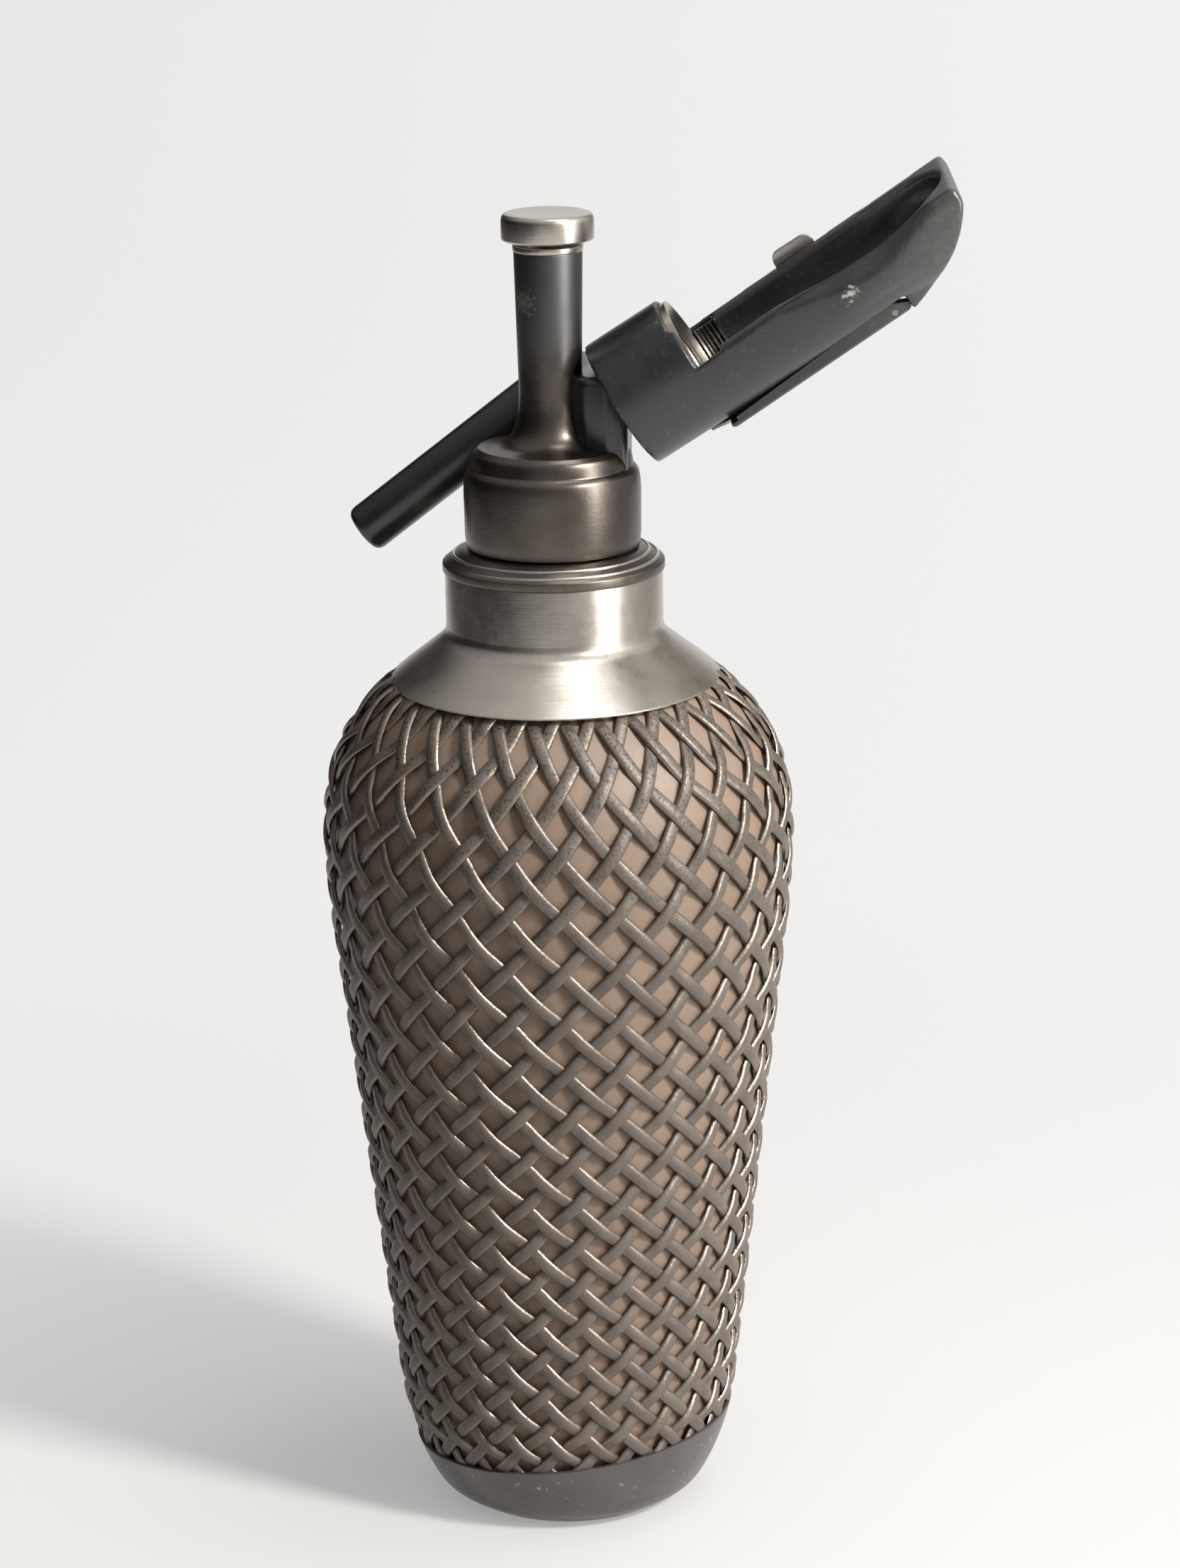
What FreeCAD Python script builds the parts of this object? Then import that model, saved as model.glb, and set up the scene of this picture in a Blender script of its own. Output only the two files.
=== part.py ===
import FreeCAD, Part
import math
import os

from FreeCAD import Placement, Rotation, Vector

# Soda siphon, in millimetres. The origin is the centre of the foot on the surface that it stands on.
# +Z runs up the bottle, +X points to the side of the capsule holder and -X to the side of the spout.

# Body: a glass bottle in a woven metal casing, with a bowl under it
FOOT_RADIUS = 26.0
BOWL_RADIUS = 40.6
BOWL_HEIGHT = 30.0
BOWL_SWELL_OUT = 0.71
BOWL_SWELL_UP = 0.42
TAPER_TOP_INSET = 0.99
TAPER_TOP_HEIGHT = 148.0
BELLY_RADIUS = 55.1
BELLY_RISE = 18.0
SHOULDER_RADIUS = 49.4
SHOULDER_RISE = 24.0
SHOULDER_SWELL = 1.4
SHOULDER_SWELL_UP = 0.63
SHOULDER_CAP_RISE = 13.4
SHOULDER_TOP_RADIUS = 36.6
CASING_THICKNESS = 1.9
CUP_WALL = 1.0
CUP_RIM_HEIGHT = 18.0
CUP_RIM_TILT = 6.0
GLASS_WALL = 5.0
GLASS_FLOOR = 7.0

# Neck: the glass neck with its bead, the split ring under it, and the collar with its skirt
NECK_RADIUS = 14.2
NECK_BORE_RADIUS = 11.0
NECK_ROOT_RISE = 9.6
NECK_FILLET = 5.0
BEAD_RADIUS = 16.2
BEAD_RISE = 8.4
BEAD_DEPTH = 5.0
NECK_END_LENGTH = 2.0
COLLAR_RADIUS = 25.1
COLLAR_WALL = 1.2
COLLAR_COVER = 1.0
COLLAR_LENGTH = 14.8
COLLAR_COVE = 1.6
SKIRT_RADIUS = 38.2
SKIRT_DEPTH_RADIUS = 41.6
SKIRT_DROP = 10.4
SKIRT_WALL = 0.9
SPLIT_RING_DEPTH = 7.0
SPLIT_GAP = 0.6
NECK_RING_RADIUS = 25.65
NECK_RING_SIDE = 1.9
NECK_RING_DEPTH = 5.3
NECK_RING_EDGE = 0.3
NECK_RING_BORE_RADIUS = 15.6
NECK_RING_LIP = 1.0
WASHER_THICKNESS = 0.9
GASKET_THICKNESS = 1.6
THREAD_DEPTH = 0.9
HEAD_THREAD_DEPTH = 1.6

# Head: the nickel dome, flare and tower, with heights above the head's foot
DOME_RADIUS = 20.4
DOME_FOOT_RADIUS = 20.0
DOME_FOOT_RISE = 3.0
DOME_WIDE_RISE = 13.0
DOME_STEP_RADIUS = 19.1
DOME_STEP_RISE = 18.4
DOME_STEP_WIDTH = 0.35
LEDGE_RADIUS = 17.3
LEDGE_RISE = 22.6
LEDGE_WIDTH = 0.5
FLARE_RADIUS = 9.3
FLARE_RISE = 25.8
TOWER_FOOT_RADIUS = 7.2
TOWER_FOOT_RISE = 35.0
TOWER_TOP_RADIUS = 7.85
TOWER_LENGTH = 33.0
BUSH_SOCKET = 4.0
DIP_TUBE_RADIUS = 3.6
DIP_TUBE_WALL = 0.9
DIP_TUBE_FLOOR_GAP = 6.0
DIP_TUBE_SOCKET = 8.0
TUBE_NUT_ACROSS_FLATS = 12.4
TUBE_NUT_HEIGHT = 5.0
TUBE_SEAL_THICKNESS = 1.2
TUBE_SEAL_RADIUS = 5.8

# Valve: seat, stem, gland and push button
SEAT_RISE = 29.0
SEAT_THICKNESS = 1.5
CHAMBER_RADIUS = 4.6
PASSAGE_RADIUS = 2.6
PASSAGE_LENGTH = 10.0
SPRING_BORE_RADIUS = 4.4
STEM_RADIUS = 1.5
STEM_TOP_RADIUS = 2.2
STEM_FOOT_RADIUS = 2.4
STEM_FOOT_THICKNESS = 1.2
STEM_SHOULDER_RADIUS = 4.1
STEM_SHOULDER_THICKNESS = 2.4
VALVE_DISC_RADIUS = 3.6
VALVE_DISC_THICKNESS = 2.0
SPRING_LENGTH = 18.0
SPRING_WIRE_RADIUS = 0.4
SPRING_COIL_RADIUS = 3.2
SPRING_COILS = 7
GLAND_RADIUS = 8.05
GLAND_RIM = 1.6
GLAND_DEPTH = 4.0
GLAND_EDGE = 0.3
STEM_SEAL_THICKNESS = 1.6
BUTTON_RADIUS = 10.6
BUTTON_ROOF = 1.4
BUTTON_BOSS_RADIUS = 3.6
BUTTON_BOSS_DEPTH = 1.7
BUTTON_STOP_GAP = 0.4
BUTTON_GAP = 0.8
BUTTON_TRAVEL = 3.5
BUTTON_EDGE = 1.4
BUTTON_LIP_EDGE = 0.4

# Side body: the moulded block behind and beside the tower, and the spout that it carries
BLOCK_LEFT = -7.0
BLOCK_RIGHT = 17.7
BLOCK_FRONT = -9.0
BLOCK_FRONT_X = 13.0
BLOCK_NOSE_WIDTH = 5.0
BLOCK_NOSE_SLANT = 1.1
BLOCK_SADDLE = 3.0
BLOCK_HOLDER_GAP = 0.5
BLOCK_BACK = 27.5
BLOCK_RISE = 16.0
BLOCK_HEIGHT = 24.0
BLOCK_EDGE = 2.0
BLOCK_BACK_EDGE = 7.0
BLOCK_TOP_EDGE = 2.0
SCREW_SPACING = 14.0
SCREW_CENTRE = 4.0
SCREW_RISE = 3.4
SCREW_RADIUS = 1.5
SCREW_LENGTH = 17.0
SCREW_HEAD_RADIUS = 2.8
SCREW_HEAD_HEIGHT = 2.0
SCREW_SLOT_DEPTH = 0.9
SCREW_SLOT_WIDTH = 0.8
SPOUT_RADIUS = 5.8
SPOUT_BORE_RADIUS = 2.6
SPOUT_LENGTH = 54.0
SPOUT_SLOPE = 37.5
SPOUT_BACK = 20.8
SPOUT_TOP_RISE = 15.5
SPOUT_TOP_X = -2.8
SPOUT_LIP = 1.4
SPOUT_SEAL_THICKNESS = 1.2
PORT_RADIUS = 2.0
PORT_REACH = 6.0

# Capsule holder, on the axis of its screw thread
HOLDER_SLOPE = 32.7
HOLDER_TURN = 8.0
HOLDER_X = 16.4
HOLDER_RISE = 16.5
HOLDER_RADIUS = 15.6
HOLDER_COLLAR_LENGTH = 20.3
HOLDER_LENGTH = 90.4
INSERT_RADIUS = 14.4
INSERT_BORE_RADIUS = 12.2
INSERT_PROUD = 0.5
NIPPLE_LENGTH = 12.0
NIPPLE_START = 0.8
NIPPLE_SHANK_RADIUS = 4.2
NIPPLE_SHANK_LENGTH = 7.0
GAS_BORE_RADIUS = 0.9
CAPSULE_RADIUS = 9.25
TROUGH_CLEARANCE = 1.15
TROUGH_END = 82.0
TROUGH_MOUTH_LENGTH = 6.5
RIM_HEIGHT = 2.1
RIM_SLOPE = 2.2
UNDERSIDE_HEIGHT = -14.6
UNDERSIDE_SLOPE = 2.0
HEEL_START = 67.6
HEEL_DEPTH = 16.2
HEEL_WIDTH = 17.0
KEEL_U = 82.0
KEEL_V = -8.9
NOSE_TIP_V = 0.8
NOSE_TOP_U = 89.8
NOSE_TOP_V = 9.0

# Lever under the holder, with the nickel plate that carries its toe and its tab
LEVER_START = 18.8
LEVER_WIDTH = 15.0
LEVER_DEPTH = 17.2
LEVER_CHAMFER = 0.7
LEVER_GAP = 0.35
LEVER_SLOPE = 1.5
LEVER_SLOT_WIDTH = 9.0
LEVER_PIN_SHORT = 0.5
PIVOT_U = 63.6
PIVOT_V = -14.75
PIVOT_RADIUS = 0.8
LUG_WIDTH = 4.0
LUG_RADIUS = 1.6
LEVER_HEEL_RELIEF = 0.75
PLATE_THICKNESS = 0.8
PLATE_TOP = -15.9
PLATE_WIDTH = 8.0
TOE_REACH = 5.2
TOE_HALF_WIDTH = 0.8
PLATE_END = 57.0
ARM_U = 50.2
ARM_WIDTH = 10.6
ARM_THICKNESS = 1.1
TAB_TOP = 6.0
TAB_CORNER = 2.4
LEVER_SPRING_WIRE = 0.25
LEVER_SPRING_COILS = 3

# Gas inlet
NEEDLE_RADIUS = 1.3
NEEDLE_REACH = 2.6
NEEDLE_ROOT = 4.0
NEEDLE_BORE_RADIUS = 0.4
NEEDLE_POINT_LENGTH = 1.8
INLET_WASHER_RADIUS = 4.4
INLET_WASHER_THICKNESS = 1.8
BALL_RADIUS = 1.8
BALL_CHAMBER_LENGTH = 5.0
BALL_PLACE = 2.0

# Clearances
SEATED = 0.05
RUNNING = 0.08
FREE = 0.3
HIDDEN = 0.1
NEAR = 0.01

# Heights above the surface that the siphon stands on, each worked out from the one below
BELLY_HEIGHT = TAPER_TOP_HEIGHT + BELLY_RISE
SHOULDER_HEIGHT = BELLY_HEIGHT + SHOULDER_RISE
SHOULDER_TOP_HEIGHT = SHOULDER_HEIGHT + SHOULDER_CAP_RISE
NECK_ROOT_HEIGHT = SHOULDER_TOP_HEIGHT + NECK_ROOT_RISE
BEAD_BOTTOM_HEIGHT = NECK_ROOT_HEIGHT + BEAD_RISE
BEAD_TOP_HEIGHT = BEAD_BOTTOM_HEIGHT + BEAD_DEPTH
NECK_TOP_HEIGHT = BEAD_TOP_HEIGHT + NECK_END_LENGTH
CEILING = NECK_TOP_HEIGHT + GASKET_THICKNESS
COLLAR_TOP_HEIGHT = BEAD_TOP_HEIGHT + COLLAR_COVER
COLLAR_FOOT_HEIGHT = COLLAR_TOP_HEIGHT - COLLAR_LENGTH
SKIRT_EDGE_HEIGHT = COLLAR_FOOT_HEIGHT - SKIRT_DROP
NECK_RING_TOP_HEIGHT = COLLAR_TOP_HEIGHT + NECK_RING_DEPTH
HEAD_FOOT = NECK_RING_TOP_HEIGHT + FREE
LEDGE_HEIGHT = HEAD_FOOT + LEDGE_RISE
TOWER_TOP_HEIGHT = HEAD_FOOT + TOWER_FOOT_RISE + TOWER_LENGTH
SEAT_HEIGHT = HEAD_FOOT + SEAT_RISE
TUBE_TOP = CEILING + DIP_TUBE_SOCKET
PASSAGE_TOP = SEAT_HEIGHT + PASSAGE_LENGTH
SHOULDER_FOOT = PASSAGE_TOP + SPRING_LENGTH
GLAND_FOOT = TOWER_TOP_HEIGHT - GLAND_DEPTH
GLAND_TOP = TOWER_TOP_HEIGHT + GLAND_RIM
BUTTON_FOOT = GLAND_TOP + BUTTON_GAP
ROOF_UNDERSIDE = GLAND_TOP + BUTTON_TRAVEL + BUTTON_BOSS_DEPTH + BUTTON_STOP_GAP
BUTTON_TOP = ROOF_UNDERSIDE + BUTTON_ROOF
BLOCK_BOTTOM = HEAD_FOOT + BLOCK_RISE
BLOCK_TOP = BLOCK_BOTTOM + BLOCK_HEIGHT
SCREW_HEIGHT = BLOCK_BOTTOM + SCREW_RISE
SPOUT_TOP_HEIGHT = BLOCK_BOTTOM + SPOUT_TOP_RISE
HOLDER_HEIGHT = BLOCK_BOTTOM + HOLDER_RISE

# Sizes that other sizes give
COLLAR_ROOT_RADIUS = COLLAR_RADIUS + COLLAR_COVE
COLLAR_ROOT_HEIGHT = COLLAR_FOOT_HEIGHT - 1.0
COLLAR_BORE_RADIUS = COLLAR_RADIUS - COLLAR_WALL
TROUGH_RADIUS = CAPSULE_RADIUS + TROUGH_CLEARANCE
THREAD_ROOT_RADIUS = INSERT_BORE_RADIUS - THREAD_DEPTH
BUSH_RADIUS = NECK_RING_BORE_RADIUS - HEAD_THREAD_DEPTH
BUSH_TOP = HEAD_FOOT + BUSH_SOCKET
BEYOND = 1.0

UP = Vector(0, 0, 1)
ALONG = Vector(1, 0, 0)
BACK = Vector(0, 1, 0)
ORIGIN = Vector(0, 0, 0)


def save(name, *solids):
    shape = solids[0] if len(solids) == 1 else Part.makeCompound(list(solids))
    shape.exportStep("parts/" + name + ".step")
    print(name, len(shape.Solids), round(shape.Volume, 1), shape.isValid())
    return shape


def point(radius, height):
    return Vector(radius, 0, height)


def line(start, end):
    return Part.LineSegment(point(*start), point(*end)).toShape()


def arc(start, middle, end):
    return Part.Arc(point(*start), point(*middle), point(*end)).toShape()


def curve(*places):
    spline = Part.BSplineCurve()
    spline.interpolate([point(*place) for place in places])
    return spline.toShape()


def polygon(*places):
    closed = list(places) + [places[0]]
    return [line(a, b) for a, b in zip(closed, closed[1:])]


def turned(edges):
    """A solid turned about the vertical axis from an outline of radius and height."""
    return Part.Face(Part.Wire(edges)).revolve(ORIGIN, UP, 360)


def ring(inner, outer, bottom, top):
    if inner <= 0:
        return Part.makeCylinder(outer, top - bottom, Vector(0, 0, bottom), UP)
    return turned(polygon((inner, bottom), (outer, bottom), (outer, top), (inner, top)))


def along_ring(inner, outer, start, end):
    """A ring or a disc on the X axis, for the pieces of the holder and the spout."""
    solid = Part.makeCylinder(outer, end - start, Vector(start, 0, 0), ALONG)
    if inner > 0:
        solid = solid.cut(Part.makeCylinder(inner, end - start, Vector(start, 0, 0), ALONG))
    return solid


def block(low, high):
    size = [b - a for a, b in zip(low, high)]
    return Part.makeBox(size[0], size[1], size[2], Vector(*low))


def slab(places, half_width):
    """A plate of an outline in the XZ plane, as wide to each side along Y."""
    wire = Part.makePolygon([Vector(u, -half_width, v) for u, v in places + places[:1]])
    return Part.Face(wire).extrude(Vector(0, 2 * half_width, 0))


def coil(mean_radius, wire_radius, length, coils):
    """A compression spring of round wire, standing on the origin along Z."""
    lift = length - 2 * wire_radius
    helix = Part.makeHelix(lift / coils, lift, mean_radius)
    section = Part.makeCircle(wire_radius, Vector(mean_radius, 0, 0), BACK)
    spring = Part.Wire(helix.Edges).makePipeShell([Part.Wire(section)], True, False)
    spring.translate(Vector(0, 0, wire_radius))
    return spring


def hexagon(across_flats, height, bottom):
    corner = across_flats / math.sqrt(3)
    places = [Vector(corner * math.cos(k * math.pi / 3), corner * math.sin(k * math.pi / 3), bottom)
              for k in range(7)]
    return Part.Face(Part.makePolygon(places)).extrude(Vector(0, 0, height))


def side(inset, floor):
    """The edges of the body's side, from the foot to the shoulder, moved in by inset."""
    foot = (FOOT_RADIUS - inset, floor)
    swell = (FOOT_RADIUS + BOWL_SWELL_OUT * (BOWL_RADIUS - FOOT_RADIUS) - inset,
             BOWL_SWELL_UP * BOWL_HEIGHT + 0.5 * floor)
    bowl_top = (BOWL_RADIUS - inset, BOWL_HEIGHT)
    taper_top = (BELLY_RADIUS - TAPER_TOP_INSET - inset, TAPER_TOP_HEIGHT)
    belly = (BELLY_RADIUS - inset, BELLY_HEIGHT)
    upper = (0.5 * (BELLY_RADIUS + SHOULDER_RADIUS) + SHOULDER_SWELL - inset,
             BELLY_HEIGHT + SHOULDER_SWELL_UP * SHOULDER_RISE)
    shoulder = (SHOULDER_RADIUS - inset, SHOULDER_HEIGHT)
    top = (SHOULDER_TOP_RADIUS, SHOULDER_TOP_HEIGHT - inset)
    edges = [arc(foot, swell, bowl_top), line(bowl_top, taper_top),
             curve(taper_top, belly, upper, shoulder, top)]
    return foot, edges, top


def rim_cutter(above):
    """The half of space above or below the sloping rim of the base bowl."""
    reach = 4 * BELLY_RADIUS
    low, high = (0, reach) if above else (-reach, 0)
    cutter = block((-reach, -reach, low), (reach, reach, high))
    cutter.rotate(ORIGIN, BACK, -CUP_RIM_TILT)
    cutter.translate(Vector(0, 0, CUP_RIM_HEIGHT))
    return cutter


def casing_body(inset, floor):
    """The body as a full solid, moved in by inset."""
    foot, edges, top = side(inset, floor)
    closing = [line(top, (0, top[1])), line((0, top[1]), (0, floor)), line((0, floor), foot)]
    return turned(edges + closing)


def chain(*places):
    """Straight edges from each place to the next."""
    return [line(low, high) for low, high in zip(places, places[1:])]


def neck_fillet(start, radius, top):
    """The short straight stretch and the curve that lead from a shoulder into a neck of a radius."""
    rise = 0.8 * NECK_FILLET
    foot = (radius + NECK_FILLET, top - rise)
    end = (radius, top + 0.2 * NECK_FILLET)
    middle = (radius + 0.25 * NECK_FILLET, top - 0.4 * NECK_FILLET)
    return [line(start, foot), curve(foot, middle, end)], end


def glass_bottle():
    inset = CASING_THICKNESS + HIDDEN
    floor = CUP_WALL + HIDDEN
    foot, edges, top = side(inset, floor)
    fillet, neck = neck_fillet(top, NECK_RADIUS, NECK_ROOT_HEIGHT)
    outer = chain(neck, (NECK_RADIUS, BEAD_BOTTOM_HEIGHT), (BEAD_RADIUS, BEAD_BOTTOM_HEIGHT),
                  (BEAD_RADIUS, BEAD_TOP_HEIGHT), (NECK_RADIUS, BEAD_TOP_HEIGHT),
                  (NECK_RADIUS, NECK_TOP_HEIGHT), (0, NECK_TOP_HEIGHT), (0, floor), foot)
    outside = turned(edges + fillet + outer)
    foot, edges, top = side(inset + GLASS_WALL, GLASS_FLOOR)
    fillet, bore = neck_fillet(top, NECK_BORE_RADIUS, NECK_ROOT_HEIGHT - GLASS_WALL)
    inner = chain(bore, (NECK_BORE_RADIUS, NECK_TOP_HEIGHT + BEYOND), (0, NECK_TOP_HEIGHT + BEYOND),
                  (0, GLASS_FLOOR), foot)
    return outside.cut(turned(edges + fillet + inner))


def wire_mesh():
    shell = casing_body(0, 0).cut(casing_body(CASING_THICKNESS, CUP_WALL))
    mouth = ring(0, SHOULDER_TOP_RADIUS, SHOULDER_HEIGHT, SHOULDER_TOP_HEIGHT + BEYOND)
    return shell.cut(mouth).cut(skirt_cone(0)).common(rim_cutter(True))


def base_cup():
    shell = casing_body(0, 0).cut(casing_body(CASING_THICKNESS, CUP_WALL))
    return shell.common(rim_cutter(False))


def neck_collar():
    root = (COLLAR_ROOT_RADIUS, COLLAR_ROOT_HEIGHT)
    wall = (COLLAR_RADIUS, COLLAR_FOOT_HEIGHT + COLLAR_COVE)
    cove = (COLLAR_RADIUS + 0.28 * COLLAR_COVE, COLLAR_FOOT_HEIGHT + 0.06 * COLLAR_COVE)
    outline = [arc(root, cove, wall)]
    outline += chain(wall, (COLLAR_RADIUS, COLLAR_TOP_HEIGHT), (COLLAR_BORE_RADIUS, COLLAR_TOP_HEIGHT),
                     (COLLAR_BORE_RADIUS, COLLAR_ROOT_HEIGHT), root)
    bore = ring(0, COLLAR_BORE_RADIUS, SKIRT_EDGE_HEIGHT, COLLAR_TOP_HEIGHT)
    skirt = skirt_cone(0).cut(skirt_cone(SKIRT_WALL)).cut(bore)
    return turned(outline).fuse(skirt).removeSplitter()


def skirt_cone(drop):
    """The cone under the collar, round at its root and a little oval at its edge, lowered by drop."""
    low = SKIRT_EDGE_HEIGHT - drop
    high = COLLAR_ROOT_HEIGHT - drop
    upper = Part.Wire(Part.makeCircle(COLLAR_ROOT_RADIUS, Vector(0, 0, high), UP, 90, 450))
    oval = Part.Ellipse(Vector(0, SKIRT_DEPTH_RADIUS, low), Vector(SKIRT_RADIUS, 0, low), Vector(0, 0, low))
    return Part.makeLoft([upper, Part.Wire(oval.toShape())], True, True)


def split_ring():
    """Two half rings that grip the glass neck under its bead."""
    low = BEAD_BOTTOM_HEIGHT - SPLIT_RING_DEPTH
    whole = ring(NECK_RADIUS + HIDDEN, COLLAR_BORE_RADIUS - HIDDEN, low, BEAD_BOTTOM_HEIGHT)
    half_gap = 0.5 * SPLIT_GAP
    gap = block((-half_gap, -COLLAR_RADIUS, low), (half_gap, COLLAR_RADIUS, BEAD_BOTTOM_HEIGHT))
    return whole.cut(gap).Solids


def neck_ring():
    """The threaded ring in the collar's top: it holds the glass down, and the head screws into it."""
    bottom = COLLAR_TOP_HEIGHT
    top = NECK_RING_TOP_HEIGHT
    edge = NECK_RING_EDGE
    boss = COLLAR_BORE_RADIUS - HIDDEN
    boss_low = BEAD_BOTTOM_HEIGHT + HIDDEN
    bead = BEAD_RADIUS + HIDDEN
    side_top = bottom + NECK_RING_SIDE
    outline = [(bead, boss_low), (boss, boss_low), (boss, bottom), (NECK_RING_RADIUS - edge, bottom),
               (NECK_RING_RADIUS, bottom + edge), (NECK_RING_RADIUS, side_top),
               (NECK_RING_RADIUS - 2 * edge, side_top + 2 * edge),
               (DOME_FOOT_RADIUS + 5 * edge, top - 2 * edge),
               (DOME_FOOT_RADIUS + 2 * edge, top), (NECK_RING_BORE_RADIUS, top),
               (NECK_RING_BORE_RADIUS, bottom + NECK_RING_LIP),
               (NECK_RADIUS + HIDDEN, bottom + NECK_RING_LIP),
               (NECK_RADIUS + HIDDEN, bottom), (bead, bottom)]
    return turned(polygon(*outline))


def neck_washer():
    return ring(NECK_RADIUS + HIDDEN, BEAD_RADIUS, BEAD_TOP_HEIGHT, BEAD_TOP_HEIGHT + WASHER_THICKNESS)


def bottle_gasket():
    return ring(NECK_BORE_RADIUS + HIDDEN, NECK_RADIUS, NECK_TOP_HEIGHT, CEILING)


def between(start, end, share):
    """The place at a share of the way from start to end."""
    return tuple(low + share * (high - low) for low, high in zip(start, end))


def moved(place, out, up):
    return (place[0] + out, place[1] + up)


def head_outline():
    """The outside of the dome, the flare and the tower, as edges from the foot up."""
    foot = (DOME_FOOT_RADIUS, HEAD_FOOT)
    low = (between(foot, (DOME_RADIUS, HEAD_FOOT), 0.75)[0], HEAD_FOOT + DOME_FOOT_RISE)
    wide = (DOME_RADIUS, HEAD_FOOT + DOME_WIDE_RISE)
    step = (DOME_STEP_RADIUS, HEAD_FOOT + DOME_STEP_RISE)
    step_in = moved(step, -DOME_STEP_WIDTH, 0.7 * DOME_STEP_WIDTH)
    ledge = (LEDGE_RADIUS, LEDGE_HEIGHT)
    ledge_in = moved(ledge, -LEDGE_WIDTH, 0.9 * LEDGE_WIDTH)
    flare = (FLARE_RADIUS, HEAD_FOOT + FLARE_RISE)
    tower_foot = (TOWER_FOOT_RADIUS, HEAD_FOOT + TOWER_FOOT_RISE)
    round_off = (between(step, wide, 0.65)[0], between(step, wide, 0.55)[1])
    under_ledge = moved(between(step, ledge, 0.5), 0.7 * DOME_STEP_WIDTH, 0.8 * LEDGE_WIDTH)
    flare_low = (between(ledge, flare, 0.575)[0], LEDGE_HEIGHT + 2 * LEDGE_WIDTH)
    flare_high = (between(flare, tower_foot, 0.75)[0], between(flare, tower_foot, 0.45)[1])
    return [line(foot, low), line(low, wide), arc(wide, round_off, step), line(step, step_in),
            arc(step_in, under_ledge, ledge), line(ledge, ledge_in),
            curve(ledge_in, flare_low, flare, flare_high, tower_foot),
            line(tower_foot, (TOWER_TOP_RADIUS, TOWER_TOP_HEIGHT))]


def head_solid():
    """The head without its bores."""
    closing = chain((TOWER_TOP_RADIUS, TOWER_TOP_HEIGHT), (0, TOWER_TOP_HEIGHT), (0, HEAD_FOOT),
                    (DOME_FOOT_RADIUS, HEAD_FOOT))
    return turned(head_outline() + closing)


def gas_hole(low, high):
    start = holder_place(Vector(-NIPPLE_SHANK_LENGTH, 0, 0))
    return Part.makeCylinder(GAS_BORE_RADIUS, high - low, Vector(start.x, start.y, low), UP)


def port_hole():
    """The bore from the valve's passage back to the top of the spout."""
    return Part.makeCylinder(PORT_RADIUS, SPOUT_BACK, Vector(0, 0, SEAT_HEIGHT + 0.4 * PASSAGE_LENGTH), BACK)


def screw_places():
    return [Vector(SCREW_CENTRE + s * 0.5 * SCREW_SPACING, BLOCK_BACK, SCREW_HEIGHT) for s in (-1, 1)]


def head_body():
    solid = head_solid()
    solid = solid.cut(ring(0, BUSH_RADIUS + SEATED, HEAD_FOOT - BEYOND, BUSH_TOP))
    solid = solid.cut(ring(0, DIP_TUBE_RADIUS + SEATED, BUSH_TOP - BEYOND, TUBE_TOP))
    solid = solid.cut(ring(0, CHAMBER_RADIUS, TUBE_TOP, SEAT_HEIGHT))
    solid = solid.cut(ring(0, PASSAGE_RADIUS, SEAT_HEIGHT - BEYOND, PASSAGE_TOP))
    solid = solid.cut(ring(0, SPRING_BORE_RADIUS, PASSAGE_TOP, TOWER_TOP_HEIGHT + BEYOND))
    solid = solid.cut(port_hole())
    solid = solid.cut(gas_hole(HEAD_FOOT - BEYOND, HEAD_FOOT + TOWER_FOOT_RISE))
    for place in screw_places():
        solid = solid.cut(Part.makeCylinder(SCREW_RADIUS + SEATED, SCREW_LENGTH + 1, place, -BACK))
    return solid


def head_bush():
    """The bush in the head's foot that screws into the neck ring, drawn at the root of its thread."""
    bush = ring(DIP_TUBE_RADIUS + SEATED, BUSH_RADIUS, CEILING, BUSH_TOP)
    return bush.cut(gas_hole(CEILING - BEYOND, BUSH_TOP + BEYOND))


def dip_tube():
    low = GLASS_FLOOR + DIP_TUBE_FLOOR_GAP
    return ring(DIP_TUBE_RADIUS - DIP_TUBE_WALL, DIP_TUBE_RADIUS, low, TUBE_TOP)


def tube_seal():
    return ring(DIP_TUBE_RADIUS + SEATED, TUBE_SEAL_RADIUS, CEILING - TUBE_SEAL_THICKNESS, CEILING)


def tube_nut():
    top = CEILING - TUBE_SEAL_THICKNESS
    nut = hexagon(TUBE_NUT_ACROSS_FLATS, TUBE_NUT_HEIGHT, top - TUBE_NUT_HEIGHT)
    return nut.cut(ring(0, DIP_TUBE_RADIUS + SEATED, top - TUBE_NUT_HEIGHT - BEYOND, top + BEYOND))


def valve_seat():
    """The rubber seat that lies in the top of the valve chamber."""
    return ring(PASSAGE_RADIUS, CHAMBER_RADIUS - SEATED, SEAT_HEIGHT - SEAT_THICKNESS, SEAT_HEIGHT)


def valve_disc():
    top = SEAT_HEIGHT - SEAT_THICKNESS
    return ring(STEM_RADIUS, VALVE_DISC_RADIUS, top - VALVE_DISC_THICKNESS, top)


def valve_stem():
    low = SEAT_HEIGHT - SEAT_THICKNESS - VALVE_DISC_THICKNESS
    shoulder_top = SHOULDER_FOOT + STEM_SHOULDER_THICKNESS
    foot_low = low - STEM_FOOT_THICKNESS
    outline = [(0, foot_low), (STEM_FOOT_RADIUS, foot_low), (STEM_FOOT_RADIUS, low), (STEM_RADIUS, low),
               (STEM_RADIUS, SHOULDER_FOOT), (STEM_SHOULDER_RADIUS, SHOULDER_FOOT),
               (STEM_SHOULDER_RADIUS, shoulder_top), (STEM_TOP_RADIUS, shoulder_top),
               (STEM_TOP_RADIUS, ROOF_UNDERSIDE), (0, ROOF_UNDERSIDE)]
    return turned(polygon(*outline))


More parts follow.
